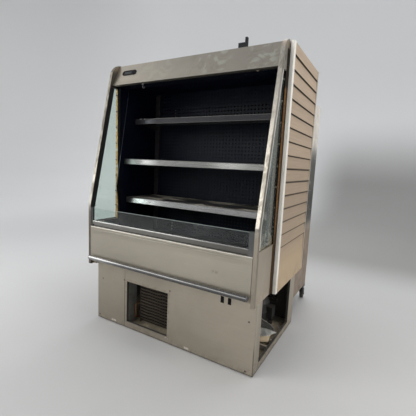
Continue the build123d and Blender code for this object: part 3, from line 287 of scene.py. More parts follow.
def base_steel(name, extra=None):
    m = steel(name, BROWN, 0.50, "x", 0.07, 0.04, 0.45, 0.88)
    # painted light: slightly lighter at the top and much lighter towards the right
    m.tint(m.step(m.z, 0.42, 0.02, 1.03, 0.98))
    m.tint(m.step(m.x, -0.30, 0.58, 0.88, 1.20))
    drip = m.step(m.noise(1.0, 5.0, 0.6, m.stretch(9.0, 9.0, 1.6, (2.0, 5.0, 0.0)), 0.9), 0.52, 0.74)
    m.layer(m.mul(drip, m.step(m.z, 0.40, 0.10, 0.3, 1.0)), (0.27, 0.235, 0.19), 0.60, None, 0.20)
    grime_low(m, 0.004, 0.060, (0.14, 0.115, 0.085), 0.75)
    spot = m.step(m.cells(26.0), 0.055, 0.030)
    m.layer(spot, (0.17, 0.14, 0.11), 0.8, 0.2, 0.5)
    # painted contact shadow along the bottom edge, just above the floor
    m.layer(m.step(m.z, 0.0125, 0.0075), (0.075, 0.064, 0.050), 0.7, 0.4, 0.75)
    m.layer(m.mul(m.band(m.x, -0.3385, -0.3340, 0.0006), m.step(m.z, 0.36, 0.30)), (0.12, 0.105, 0.080), 0.6, None, 0.7)
    # darker noisy patch at the upper left of the base
    upper_left_dark = m.mul(m.step(m.x, -0.30, -0.56), m.step(m.z, 0.34, 0.42))
    m.layer(m.mul(upper_left_dark, m.step(m.noise(8.0, 5.0), 0.35, 0.6)), (0.24, 0.21, 0.17), 0.6, None, 0.5)
    dx, dz = m.math("SUBTRACT", m.x, -0.573), m.math("SUBTRACT", m.z, 0.027)
    hole = m.step(m.math("SQRT", m.math("ADD", m.mul(dx, dx), m.mul(dz, dz))), 0.0065, 0.0055)
    m.layer(hole, (0.02, 0.018, 0.015), 0.8, 0.0, 0.9)
    dx, dz = m.math("SUBTRACT", m.x, 0.549), m.math("SUBTRACT", m.z, 0.022)
    hole = m.step(m.math("SQRT", m.math("ADD", m.mul(dx, dx), m.mul(dz, dz))), 0.0062, 0.0052)
    m.layer(hole, (0.02, 0.018, 0.015), 0.8, 0.0, 0.9)
    edge = m.mul(m.band(m.x, -0.334, 0.036, 0.002), m.band(m.z, 0.032, 0.342, 0.002))
    m.layer(m.mul(edge, m.step(m.noise(30.0, 5.0), 0.44, 0.60)), (0.24, 0.205, 0.16), 0.7, None, 0.45)
    for cx, cz, w in ((-0.435, 0.023, 0.020), (0.166, 0.022, 0.016), (0.016, 0.036, 0.010)):
        mark = m.mul(m.band(m.x, cx - w, cx + w, 0.006), m.band(m.z, cz - 0.006, cz + 0.006, 0.003))
        m.layer(m.mul(mark, m.step(m.noise(90.0, 4.0, 0.7), 0.38, 0.56)), (0.72, 0.68, 0.60), 0.5, 0.3, 0.8)
    # painted shade: the faces inside the base, and the back of the front sheet, are painted near black
    inside = m.mul(m.step(m.y, 0.0765, 0.0775), m.step(m.math("ABSOLUTE", m.x), 0.5906, 0.5900))
    m.layer(inside, (0.042, 0.040, 0.034), 0.75, 0.0, 1.0)
    m.layer(m.mul(m.band(m.y, 0.0755, 0.0990, 0.0004), m.step(m.facing(1), 0.7, 0.9)), (0.030, 0.028, 0.024), 0.75, 0.0, 1.0)
    m.layer(m.mul(m.step(m.x, 0.5868, 0.5876), m.step(m.y, 0.078, 0.076), m.step(m.z, 0.20, 0.12)), (0.055, 0.048, 0.038), 0.7, 0.3, 0.7)
    if extra:
        extra(m)
    return m


assign("base_front_panel", base_steel("base_front_steel").done())


def side_extra(m):
    worn = m.step(m.noise(16.0, 6.0, 0.66, None, 0.8), 0.48, 0.64)
    m.layer(m.mul(worn, m.step(m.z, 0.11, 0.02)), (0.15, 0.125, 0.09), 0.85, 0.0, 0.85)
    # painted light: paler near the front edge and towards the top, and lighter towards the rear
    m.layer(m.mul(m.step(m.y, 0.16, 0.08), m.step(m.z, 0.0, 0.3)), (0.56, 0.51, 0.42), 0.40, None, 0.7)
    m.tint(m.step(m.y, 0.30, 0.70, 1.0, 1.15))


assign("base_side_panel_left", base_steel("base_side_steel", side_extra).done())
assign("base_side_panel_right", base_steel("base_side_steel_r", side_extra).done())

# floor pan, thick with brown dust; its forward-facing rear upturn and everything below the pan sheet painted dark as
# shade
m = Mat("pan_dusty", (0.260, 0.220, 0.155), 0.85, 0.0)
m.vary(4.0, 0.35, 6.0)
m.layer(m.step(m.noise(24.0, 6.0, 0.7), 0.50, 0.68), (0.42, 0.36, 0.27), 0.95, 0.0, 0.75)
m.layer(m.step(m.cells(60.0), 0.10, 0.04), (0.48, 0.43, 0.35), 0.9, 0.0, 0.5)
# painted shade: the forward-facing rear upturn is painted near black
m.layer(m.mul(m.step(m.y, 0.8, 0.81), m.step(m.facing(1), -0.2, -0.7)), (0.022, 0.021, 0.019), 0.8, 0.0, 0.95)
m.layer(m.mul(m.band(m.y, 0.325, 0.435, 0.002), m.step(m.z, 0.018, 0.022)), (0.34, 0.31, 0.265), 0.6, 0.3, 0.8)
# painted shade: everything below 11 mm, under the pan sheet, is painted dark
m.layer(m.step(m.z, 0.011, 0.004), (0.05, 0.045, 0.04), 0.9, 0.0, 0.8)
m.bump(m.noise(80.0, 5.0, 0.7), 0.002, 0.5)
assign("base_pan", m.done())

m = Mat("duct_grey", (0.160, 0.160, 0.142), 0.60, 0.2)
m.vary(8.0, 0.25, 5.0)
m.layer(m.step(m.noise(22.0, 6.0, 0.7), 0.52, 0.70), (0.060, 0.054, 0.042), 0.9, 0.0, 0.5)
m.layer(m.mul(m.step(m.z, 0.10, 0.02), m.step(m.noise(30.0, 5.0), 0.4, 0.6)), (0.12, 0.095, 0.07), 0.9, 0.0, 0.7)
m.bump(m.noise(120.0, 3.0), 0.0004, 0.4)
assign("air_baffle", m.done())

m = Mat("coil_tubes", (0.075, 0.060, 0.048), 0.55, 0.6)
m.vary(30.0, 0.35, 5.0)
m.layer(m.step(m.noise(55.0, 5.0, 0.7), 0.50, 0.66), (0.17, 0.135, 0.10), 0.9, 0.0, 0.7)
# painted light: faces turned to the right are lighter
m.layer(m.step(m.facing(0), 0.8, 1.0), (0.30, 0.29, 0.27), 0.5, 0.6, 0.3)
m.bump(m.noise(260.0, 3.0), 0.0005, 0.5)
assign("condenser_coil", m.done())

m = Mat("unit_black", (0.010, 0.011, 0.010), 0.50, 0.0)
m.vary(9.0, 0.3, 4.0)
m.dust((0.070, 0.060, 0.044), 0.80, 12.0)
m.layer(m.step(m.noise(34.0, 6.0, 0.7), 0.55, 0.72), (0.034, 0.030, 0.023), 0.9, 0.0, 0.5)
m.bump(m.noise(150.0, 3.0), 0.0004, 0.35)
unit_black = m.done()
for n in ("condenser_fan_shroud", "compressor", "evaporator_fan_plate"):
    assign(n, unit_black)

m = Mat("blade_alloy", (0.34, 0.34, 0.335), 0.45, 0.8)
m.vary(14.0, 0.16, 4.0)
m.layer(m.step(m.noise(38.0, 6.0, 0.7), 0.52, 0.68), (0.14, 0.12, 0.095), 0.9, 0.0, 0.6)
m.bump(m.noise(180.0, 2.0), 0.0003, 0.3)
blade = m.done()
assign("condenser_fan", blade)
assign("evaporator_fan", blade)

m = Mat("pipe_copper", (0.30, 0.135, 0.062), 0.46, 0.85)
m.vary(26.0, 0.25, 4.0)
m.layer(m.step(m.noise(40.0, 5.0, 0.7), 0.52, 0.66), (0.17, 0.085, 0.045), 0.7, 0.4, 0.75)
m.layer(m.step(m.noise(9.0, 5.0, 0.7), 0.56, 0.68), (0.14, 0.17, 0.13), 0.85, 0.1, 0.35)
m.bump(m.noise(300.0, 2.0), 0.0002, 0.3)
assign("refrigerant_pipes", m.done())

# evaporation tray: beige plastic, stained inside, paler rim
m = Mat("tray_beige", (0.800, 0.650, 0.440), 0.55, 0.0)
m.vary(11.0, 0.12, 4.0)
lo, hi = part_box("evaporation_tray")
tray_x, tray_y = (lo[0] + hi[0]) / 2, (lo[1] + hi[1]) / 2
m.layer(m.mul(m.step(m.up(), 0.6, 0.9), m.step(m.z, 0.085, 0.070)), (0.16, 0.115, 0.065), 0.75, 0.0, 0.85)
m.layer(m.step(m.z, 0.0895, 0.0905), (0.86, 0.77, 0.63), 0.45, 0.0, 0.7)
m.layer(m.step(m.noise(30.0, 6.0, 0.7, None, 0.6), 0.58, 0.72), (0.42, 0.32, 0.20), 0.8, 0.0, 0.35)
m.layer(m.mul(m.step(m.z, 0.060, 0.046), m.step(m.noise(22.0, 5.0), 0.4, 0.6)), (0.17, 0.12, 0.07), 0.8, 0.0, 0.5)
m.bump(m.noise(160.0, 3.0), 0.0003, 0.3)
assign("evaporation_tray", m.done())

# insulated tub: zinc sheet outside, black inside the well, undersides painted dark as shade
m = steel("tub_sheet", (0.36, 0.345, 0.32), 0.5, "x", 0.10, 0.03, 0.4, 0.7)
inner = m.mul(m.step(m.z, 0.4690, 0.4705), m.step(m.y, 0.0125, 0.0135))
inner = m.math("MAXIMUM", inner, m.mul(m.step(m.z, 0.4690, 0.4705), m.step(m.y, 0.6, 0.61)))
m.layer(inner, (0.0012, 0.0015, 0.0026), 0.8, 0.0, 1.0)
# painted shade: faces that look down are painted near black
m.layer(m.step(m.up(), -0.8, -0.95), (0.018, 0.018, 0.016), 0.85, 0.0, 1.0)
assign("tub", m.done())


def wall_material(name):
    """Insulated side wall: black liner, tan foam showing along the front edge."""
    m = black(name, (0.0022, 0.0038, 0.0115), 0.55, 0.06, **{"Specular IOR Level": 0.14})
    ax = m.math("ABSOLUTE", m.x)
    front = m.step(m.y, 0.2345, 0.2335)
    m.layer(m.step(m.y, 0.240, 0.236), (0.0045, 0.0050, 0.0065), 0.92, 0.0, 1.0)
    inner_edge = m.math("ADD", m.x, m.math("ADD", m.math("MULTIPLY", m.z, 0.0105), 0.5665))
    foam = m.mul(front, m.step(inner_edge, 0.0005, -0.0005), m.step(m.z, 0.69, 0.70))
    n = m.noise(90.0, 5.0, 0.75, None, 0.8)
    tan = m.mix(m.step(n, 0.36, 0.62), (0.42, 0.22, 0.075), (0.86, 0.62, 0.30))
    tan = m.mix(m.step(m.noise(34.0, 4.0, 0.7), 0.54, 0.66), tan, (0.84, 0.78, 0.66))
    m.layer(foam, tan, 0.9, 0.0, 1.0)
    outer = m.step(ax, 0.5990, 0.5996)
    m.layer(outer, (0.30, 0.28, 0.25), 0.6, 0.0, 1.0)
    low = m.step(m.z, 1.535, 1.505)
    m.layer(m.mul(outer, m.band(m.y, 0.2310, 0.2620, 0.0006)), (0.020, 0.014, 0.009), 0.9, 0.0, 1.0)
    m.layer(m.mul(outer, low, m.band(m.y, 0.2325, 0.2600, 0.0012), m.step(m.z, 0.66, 0.90, 0.35, 1.0)), m.mix(m.step(n, 0.4, 0.6), (0.085, 0.040, 0.014), (0.240, 0.125, 0.045)), 0.9, 0.0, 1.0)
    return m


assign("insulated_wall_left", wall_material("wall_left_liner").done())
assign("insulated_wall_right", wall_material("wall_right_liner").done())

m = steel("roof_sheet", (0.50, 0.475, 0.43), 0.55, "x", 0.08, 0.02, 0.4, 0.55)
m.dust((0.36, 0.33, 0.28), 0.75, 5.0)
# painted shade: faces that look down are painted near black
m.layer(m.step(m.up(), -0.6, -0.95), (0.01, 0.011, 0.014), 0.6, 0.0, 1.0)
m.layer(m.step(m.noise(13.0, 6.0, 0.66, None, 1.2), 0.60, 0.72), (0.24, 0.21, 0.17), 0.85, 0.0, 0.4)
assign("roof_panel", m.done())

# rear casing: smoother stainless sheet with painted reflections on its right-hand flank (a dark band half way up, a
# pale band at the top), a warm brown band low down that is part stain and part painted reflection, duller and stained
# towards the bottom
m = steel("casing_steel", (0.80, 0.76, 0.69), 0.30, "z", 0.06, 0.04, 0.55)
# painted reflection: dark bands half way up, full on the right-hand flank and faint on the other faces
flank = m.step(m.facing(0), 0.5, 0.8, 0.12, 1.0)
m.layer(m.mul(flank, m.step(m.z, 1.40, 1.15), m.step(m.z, 0.60, 0.72)), (0.086, 0.084, 0.079), 0.42, 0.8, 0.90)
m.layer(m.mul(flank, m.step(m.z, 1.02, 0.88), m.step(m.z, 0.69, 0.80)), (0.055, 0.055, 0.052), 0.42, 0.8, 0.66)
n = m.step(m.noise(9.0, 7.0, 0.66, None, 1.0), 0.44, 0.66)
# painted reflection: a pale band at the top of the right-hand flank
m.layer(m.mul(flank, m.step(m.z, 1.22, 1.34)), (0.86, 0.805, 0.73), 0.38, 0.35, 0.9)
# warm brown band low down: part stain, part painted reflection
m.layer(m.step(m.z, 0.72, 0.60), (0.272, 0.201, 0.148), 0.58, 0.40, 0.92)
m.layer(m.mul(m.step(m.z, 0.95, 0.35), n), (0.27, 0.205, 0.155), 0.60, 0.6, 0.62)
m.layer(m.mul(m.step(m.noise(1.0, 4.0, 0.6, m.stretch(6.0, 6.0, 34.0)), 0.60, 0.70), m.step(m.z, 0.6, 0.8)), (0.60, 0.57, 0.50), 0.35, None, 0.35)
m.tint(m.step(m.noise(13.0, 4.0, 0.6, m.stretch(1.0, 1.0, 0.6), 0.8), 0.34, 0.66, 0.84, 1.12))
grime_low(m, 0.128, 0.22, (0.20, 0.165, 0.125), 0.6)
inn = m.mul(m.band(m.x, -0.516, 0.516, 0.001), m.band(m.y, 0.80, 1.2925, 0.0005))
m.dust((0.40, 0.365, 0.31), 0.75, 4.0)
m.layer(m.mul(inn, m.band(m.z, 0.4, 1.5645, 0.0006)), (0.003, 0.003, 0.004), 0.8, 0.0, 1.0)
m.layer(m.mul(m.band(m.y, 0.80, 0.8485, 0.0005), m.step(m.z, 1.5630, 1.5640), m.step(m.math("ABSOLUTE", m.x), 0.5578, 0.5572)), (0.003, 0.003, 0.004), 0.8, 0.0, 1.0)
assign("rear_casing", m.done())

m = black("gland_black", (0.014, 0.014, 0.015), 0.5, 0.2)
gland = m.done()
assign("cable_gland", gland)

# display well, deck and grille
m = black("deck_black", (0.0055, 0.006, 0.0065), 0.46, 0.3, **{"Specular IOR Level": 0.18})
worn = m.step(m.noise(4.5, 3.0, 0.55, None, 1.0), 0.46, 0.70)
m.layer(m.mul(worn, m.step(m.up(), 0.5, 0.9)), (0.030, 0.029, 0.027), 0.60, 0.0, 0.6)
scr = m.step(m.noise(1.0, 2.0, 0.5, m.stretch(5.0, 46.0, 5.0)), 0.64, 0.74)
m.layer(scr, (0.04, 0.039, 0.037), 0.5, 0.0, 0.4)
m.layer(m.step(m.cells(16.0), 0.05, 0.03), (0.14, 0.125, 0.105), 0.9, 0.0, 0.5)
deck = m.done()
assign("deck_tray", deck)
m = black("grille_black", (0.0022, 0.0025, 0.0030), 0.6, 0.1, **{"Specular IOR Level": 0.08})
assign("return_air_grille", m.done())

m = black("upright_grey", (0.022, 0.019, 0.021), 0.45, 0.25)
m.layer(m.step(m.noise(30.0, 4.0), 0.56, 0.68), (0.06, 0.056, 0.05), 0.6, 0.0, 0.4)
assign("slotted_uprights", m.done())

m = black("soffit_black", (0.0022, 0.0036, 0.0115), 0.55, 0.08, **{"Specular IOR Level": 0.14})
assign("canopy_soffit", m.done())
m = black("comb_black", (0.0030, 0.0045, 0.0110), 0.6, 0.1, **{"Specular IOR Level": 0.14})
assign("air_honeycomb", m.done())

m = Mat("lamp_opal", (0.62, 0.62, 0.60), 0.35, 0.0)
m.vary(20.0, 0.04, 4.0)
m.layer(m.math("MAXIMUM", m.step(m.x, -0.517, -0.519), m.step(m.x, 0.517, 0.519)), (0.30, 0.30, 0.30), 0.4, 0.6, 1.0)
m.layer(m.step(m.noise(40.0, 5.0), 0.55, 0.7), (0.40, 0.38, 0.33), 0.7, 0.0, 0.3)
assign("light_tube", m.done())

# rails, tubes and posts
m = steel("tube_steel", (0.120, 0.120, 0.120), 0.24, "x", 0.05, 0.02, 0.2)
# painted highlight: the left end of the tube is brightened
m.tint(m.step(m.x, -0.50, -0.25, 2.3, 1.0))
m.layer(m.step(m.noise(16.0, 6.0, 0.66, m.stretch(0.5, 1.0, 1.0)), 0.54, 0.70), (0.105, 0.100, 0.092), 0.36, None, 0.5)
assign("bumper_tube", m.done())
m = Mat("cap_grey", (0.115, 0.115, 0.118), 0.42, 0.3)
m.vary(30.0, 0.14, 4.0)
m.layer(m.step(m.noise(60.0, 5.0, 0.7), 0.56, 0.70), (0.055, 0.052, 0.047), 0.6, 0.1, 0.6)
m.bump(m.noise(260.0, 2.0), 0.0002, 0.3)
assign("bumper_end_caps", m.done())

m = steel("riser_chrome", (0.44, 0.435, 0.42), 0.20, "x", 0.04, 0.02, 0.35, 1.0)
# painted reflection: the rail darkens towards the right
m.tint(m.step(m.x, 0.05, 0.50, 1.0, 0.55))
m.layer(m.step(m.noise(28.0, 6.0, 0.66, None, 0.6), 0.58, 0.70), (0.30, 0.29, 0.27), 0.42, None, 0.45)
# painted reflection: dark below the top 6 mm, which stays bright as a painted highlight
m.layer(m.step(m.z, 0.7062, 0.7045), (0.110, 0.105, 0.094), 0.38, 0.8, 0.9)
# painted shadow: a dark line at the foot of the rail, above the panel lip
m.layer(m.band(m.z, 0.6740, 0.6810, 0.001), (0.020, 0.019, 0.017), 0.6, 0.3, 0.9)
assign("riser_rail", m.done())

m = steel("post_grey", (0.098, 0.100, 0.102), 0.38, "z", 0.06, 0.03, 0.3)
m.layer(m.step(m.noise(1.0, 3.0, 0.6, m.stretch(300.0, 300.0, 6.0)), 0.54, 0.66), (0.24, 0.24, 0.235), 0.3, None, 0.6)
grime_low(m, 0.674, 0.72, (0.16, 0.15, 0.13), 0.5)
assign("riser_end_posts", m.done())


def frame_steel(name, tone, blotch, cover, low, top):
    """Side frame: satin front face, mottled grey and beige, worn and browner low down, its brightness graded by height
    as painted light.
    """
    m = steel(name, tone, 0.30, "z", 0.08, 0.05, 0.45)
    m.layer(m.step(m.noise(17.0, 6.0, 0.66, m.stretch(1.0, 1.0, 0.55), 1.0), 0.44, 0.60), blotch, 0.44, None, cover)
    m.layer(m.step(m.noise(31.0, 6.0, 0.66, m.stretch(1.0, 1.0, 0.6, (4.0, 2.0, 9.0)), 0.8), 0.54, 0.66), (0.16, 0.145, 0.12), 0.55, None, cover * 0.7)
    m.layer(m.step(m.z, 0.83, 0.76), low, 0.46, None, 0.85)
    # painted light: lighter below 0.95 m, scaled by the top factor above 1.3 m
    m.tint(m.step(m.z, 0.95, 1.30, 1.12, top))
    m.layer(m.mul(m.step(m.z, 1.69, 1.72), m.step(m.noise(14.0, 5.0), 0.32, 0.55)), (0.34, 0.27, 0.20), 0.5, None, 0.6)
    ax = m.math("ABSOLUTE", m.x)
    m.layer(m.mul(m.step(ax, 0.5812, 0.5802), m.step(m.z, 0.79, 0.81), m.step(m.z, 1.60, 1.585)), (0.010, 0.010, 0.011), 0.5, 0.0, 1.0)
    chips = m.step(m.cells(70.0), 0.10, 0.05)
    m.layer(chips, (0.14, 0.115, 0.09), 0.7, 0.3, 0.35)
    return m


assign("side_frame_left", frame_steel("frame_left_steel", (0.265, 0.245, 0.210), (0.12, 0.108, 0.088), 0.80, (0.085, 0.071, 0.055), 0.50).done())
assign("side_frame_right", frame_steel("frame_right_steel", (0.385, 0.362, 0.318), (0.19, 0.175, 0.145), 0.78, (0.30, 0.26, 0.205), 1.05).done())

m = steel("end_sheet", (0.50, 0.440, 0.355), 0.44, "z", 0.06, 0.03, 0.45)
grime_low(m, 0.414, 0.50, (0.30, 0.24, 0.17), 0.5)
m.layer(m.step(m.z, 0.694, 0.700), (0.20, 0.17, 0.13), 0.6, None, 0.7)
m.layer(m.step(m.math("ABSOLUTE", m.x), 0.5585, 0.5575), (0.008, 0.009, 0.012), 0.5, 0.0, 1.0)
end_sheet = m.done()
assign("side_lower_panel_left", end_sheet)
assign("side_lower_panel_right", end_sheet)

m = Mat("post_cream", (0.90, 0.87, 0.80), 0.30, 0.0)
m.vary(3.0, 0.05, 5.0)
m.vary(60.0, 0.03, 3.0)
m.layer(m.step(m.noise(11.0, 7.0, 0.66, m.stretch(1.0, 1.0, 0.35), 0.6), 0.58, 0.70), (0.66, 0.59, 0.49), 0.6, 0.0, 0.35)
m.layer(m.mul(m.step(m.z, 0.56, 0.42), m.step(m.noise(24.0, 6.0), 0.40, 0.62)), (0.36, 0.29, 0.21), 0.7, 0.0, 0.45)
m.layer(m.step(m.y, 0.2640, 0.2615), (0.80, 0.78, 0.72), 0.25, 0.2, 0.5)
m.bump(m.noise(240.0, 2.0), 0.0002, 0.2)
assign("corner_posts", m.done())


def board_material(name):
    """Lapped boards: taupe, fine grain along Y, painted shadow under each lap, painted light and shade on the lap edges
    and by height, undersides painted dark, pale rear strip.
    """
    m = Mat(name, (0.415, 0.318, 0.228), 0.58, 0.0)
    k = m.math("DIVIDE", m.math("SUBTRACT", m.z, 1.696 - 16 * 0.0733), 0.0733)
    row = m.math("FLOOR", k)
    frac = m.math("SUBTRACT", k, row)
    tone = m.math("FRACT", m.math("MULTIPLY", m.math("SINE", m.math("MULTIPLY", row, 12.9898)), 43.758))
    m.tint(m.step(tone, 0.0, 1.0, 0.95, 1.05))
    g = m.noise(1.0, 5.0, 0.6, m.stretch(60.0, 3.2, 170.0), 0.4)
    m.tint(m.step(g, 0.28, 0.72, 0.91, 1.09))
    m.tint(m.step(m.noise(1.0, 3.0, 0.5, m.stretch(500.0, 26.0, 900.0)), 0.3, 0.7, 0.955, 1.045))
    m.layer(m.step(m.noise(2.4, 5.0, 0.6, None, 0.5), 0.48, 0.70), (0.395, 0.305, 0.225), 0.60, 0.0, 0.45)
    # painted light: darker low down, lighter high up
    m.tint(m.step(m.z, 1.00, 1.35, 0.84, 1.05))
    m.layer(m.step(m.z, 0.70, 0.52), (0.500, 0.375, 0.240), None, None, 0.85)
    slat = m.step(m.z, 0.6665, 0.6685)
    # painted shadow: a dark band just under each board's lip
    under = m.mul(m.step(frac, 0.88, 0.955), slat)
    m.layer(under, (0.016, 0.012, 0.009), 0.9, 0.0, 1.0)
    # painted highlight on the lower edge of each high board; painted shadow on the lower edge of each low board
    m.layer(m.mul(m.step(frac, 0.055, 0.012), slat, m.step(m.z, 1.15, 1.30)), (0.46, 0.39, 0.31), 0.5, 0.0, 0.35)
    m.layer(m.mul(m.step(frac, 0.085, 0.050), slat, m.step(m.z, 1.22, 1.08)), (0.030, 0.024, 0.018), 0.9, 0.0, 0.85)
    # painted shade: faces that look down are darkened
    m.layer(m.step(m.up(), -0.2, -0.6), (0.05, 0.04, 0.03), 0.9, 0.0, 0.85)
    m.layer(m.step(m.y, 0.8372, 0.8385), (0.54, 0.495, 0.43), 0.45, 0.3, 0.85)
    m.layer(m.mul(m.step(m.z, 0.55, 0.41), m.step(m.noise(17.0, 6.0, 0.66), 0.42, 0.64)), (0.30, 0.22, 0.15), 0.75, 0.0, 0.4)
    m.bump(g, 0.0004, 0.35)
    return m


assign("cladding_left", board_material("boards_left").done())
assign("cladding_right", board_material("boards_right").done())

# canopy front: warm satin sheet with blotchy wiped smears, painted shade darkening it towards the right, a painted
# highlight on its lower lip and painted shade below the lip
m = steel("canopy_steel", (0.330, 0.302, 0.258), 0.42, "x", 0.05, 0.03, 0.4)
# painted shade: the sheet darkens towards the right
m.tint(m.step(m.x, -0.5, 0.5, 1.06, 0.90))
n = m.noise(8.5, 3.0, 0.55, None, 1.9)
here = m.math("MAXIMUM", m.math("MAXIMUM", m.band(m.x, 0.03, 0.27, 0.05), m.band(m.x, 0.40, 0.56, 0.04)), m.mul(m.band(m.x, -0.40, -0.10, 0.08), 0.35))
m.layer(m.mul(here, m.step(n, 0.49, 0.60)), (0.47, 0.480, 0.405), 0.36, None, 0.55)
m.layer(m.mul(here, m.step(n, 0.42, 0.34)), (0.22, 0.215, 0.175), 0.50, None, 0.50)
m.layer(m.mul(m.step(m.z, 1.66, 1.62), m.step(m.noise(7.0, 5.0), 0.35, 0.65)), (0.28, 0.250, 0.205), 0.46, None, 0.5)
# painted highlight along the lower lip, painted shade below it
m.layer(m.band(m.z, 1.6120, 1.6215, 0.0012), (0.37, 0.345, 0.295), 0.3, None, 0.7)
m.layer(m.step(m.z, 1.6115, 1.6098), (0.10, 0.09, 0.08), 0.5, None, 0.7)
assign("canopy_fascia", m.done())

m = Mat("display_gloss", (0.006, 0.006, 0.007), 0.16, 0.0, **{"Specular IOR Level": 0.12})
m.vary(40.0, 0.15, 3.0)
win = m.mul(m.band(m.x, -0.504, -0.441, 0.0008), m.step(m.noise(240.0, 2.0), 0.30, 0.62, 0.4, 1.0))
m.layer(m.mul(win, m.band(m.z, 1.686, 1.704, 0.0008)), (0.055, 0.060, 0.058), 0.20, 0.0, 1.0)
m.bump(m.noise(90.0, 3.0), 0.0002, 0.2)
assign("display_bezel", m.done())

m = black("bracket_black", (0.010, 0.011, 0.013), 0.5, 0.15, **{"Specular IOR Level": 0.12})
assign("roof_bracket", m.done())

m = black("bezel_black", (0.003, 0.003, 0.003), 0.5, 0.06, **{"Specular IOR Level": 0.08})
assign("switch_bezels", m.done())
m = Mat("rocker_gloss", (0.003, 0.003, 0.003), 0.30, 0.0, **{"Specular IOR Level": 0.12})
m.vary(90.0, 0.2, 3.0)
m.layer(m.step(m.noise(140.0, 4.0), 0.62, 0.74), (0.03, 0.029, 0.026), 0.6, 0.0, 0.4)
m.bump(m.noise(420.0, 2.0), 0.0002, 0.3)
rocker = m.done()
assign("rocker_left", rocker)
assign("rocker_right", rocker)


def shelf_material(name, dirt, pale=(0.330, 0.275, 0.195)):
    m = black(name, (0.020, 0.020, 0.022), 0.40, 0.5)
    up = m.step(m.up(), 0.5, 0.9)
    big = m.step(m.noise(3.4, 7.0, 0.64, m.stretch(1.0, 2.2, 1.0), 1.2), 0.44, 0.64)
    m.layer(m.mul(up, big), pale, 0.72, 0.0, dirt)
    ring = m.step(m.cells(9.0, None, "DISTANCE_TO_EDGE"), 0.05, 0.02)
    m.layer(m.mul(up, ring, m.step(m.noise(6.0, 3.0), 0.5, 0.6)), (0.10, 0.085, 0.065), 0.7, 0.0, dirt * 0.5)
    m.layer(m.mul(up, m.step(m.noise(60.0, 5.0, 0.7), 0.58, 0.70)), (0.24, 0.21, 0.165), 0.9, 0.0, dirt * 0.7)
    return m


assign("shelf_top", shelf_material("shelf_top_sheet", 0.35).done())
assign("shelf_middle", shelf_material("shelf_middle_sheet", 0.45).done())
assign("shelf_bottom", shelf_material("shelf_bottom_sheet", 0.92, (0.620, 0.570, 0.470)).done())


def rail_material(name, tone, rough, left_end_shade, painted_highlights, glint=0):
    """Price rail: extruded aluminium with painted highlights round given spots, painted shade at the left end, dirt
    streaks, dark lines along its upper and lower edges and, where asked, painted glints.
    """
    m = steel(name, tone, rough, "x", 0.05, 0.04, 0.4, 1.0)
    # painted highlights: the colour is raised around each given spot
    for at, k in painted_highlights:
        m.tint(m.step(m.math("ABSOLUTE", m.math("SUBTRACT", m.x, at)), 0.17, 0.0, 1.0, k))
    # painted shade: the left end is darkened
    m.layer(m.step(m.x, -0.470, -0.520), (0.050, 0.050, 0.052), 0.5, None, left_end_shade)
    m.layer(m.step(m.noise(9.0, 4.0, 0.6, m.stretch(0.8, 6.0, 6.0), 0.6), 0.52, 0.70), tuple(c * 0.60 for c in tone), rough + 0.1, None, 0.40)
    sc = m.step(m.noise(1.0, 2.0, 0.5, m.stretch(30.0, 300.0, 300.0)), 0.66, 0.74)
    m.layer(sc, (0.10, 0.095, 0.09), 0.6, 0.4, 0.15)
    for z_top in (1.421, 1.130, 0.855):
        m.layer(m.band(m.z, z_top - 0.0050, z_top + 0.001, 0.0006), (0.09, 0.09, 0.09), 0.5, None, 0.75)
        m.layer(m.band(m.z, z_top - 0.0400, z_top - 0.0360, 0.0006), (0.12, 0.12, 0.12), 0.5, None, 0.6)
    if glint:
        for a, b in ((-0.505, -0.488), (-0.462, -0.455)):
            m.layer(m.mul(m.band(m.x, a, b, 0.004), m.band(m.z, 1.4140, 1.4225, 0.0012)), (0.80, 0.81, 0.81), 0.34, 0.5, 0.65)
    return m


# one aluminium in three painted brightnesses: the top rail painted dark as shade, the lower rails painted bright as
# light
assign("price_rail_top", rail_material("rail_top_painted_shade", (0.0150, 0.0150, 0.0165), 0.34, 0.0, ((-0.50, 8.0),), 1).done())
assign("price_rail_middle", rail_material("rail_middle_painted_light", (0.112, 0.113, 0.110), 0.28, 0.8, ((-0.37, 2.75), (0.28, 1.85))).done())
assign("price_rail_bottom", rail_material("rail_bottom_painted_light", (0.245, 0.245, 0.240), 0.26, 0.6, ((-0.37, 2.7), (0.05, 1.15))).done())

m = Mat("evaporator_alu", (0.40, 0.40, 0.40), 0.45, 0.8)
m.vary(40.0, 0.2, 4.0)
m.layer(m.step(m.noise(30.0, 5.0), 0.5, 0.66), (0.20, 0.18, 0.15), 0.85, 0.1, 0.5)
assign("evaporator_coil", m.done())

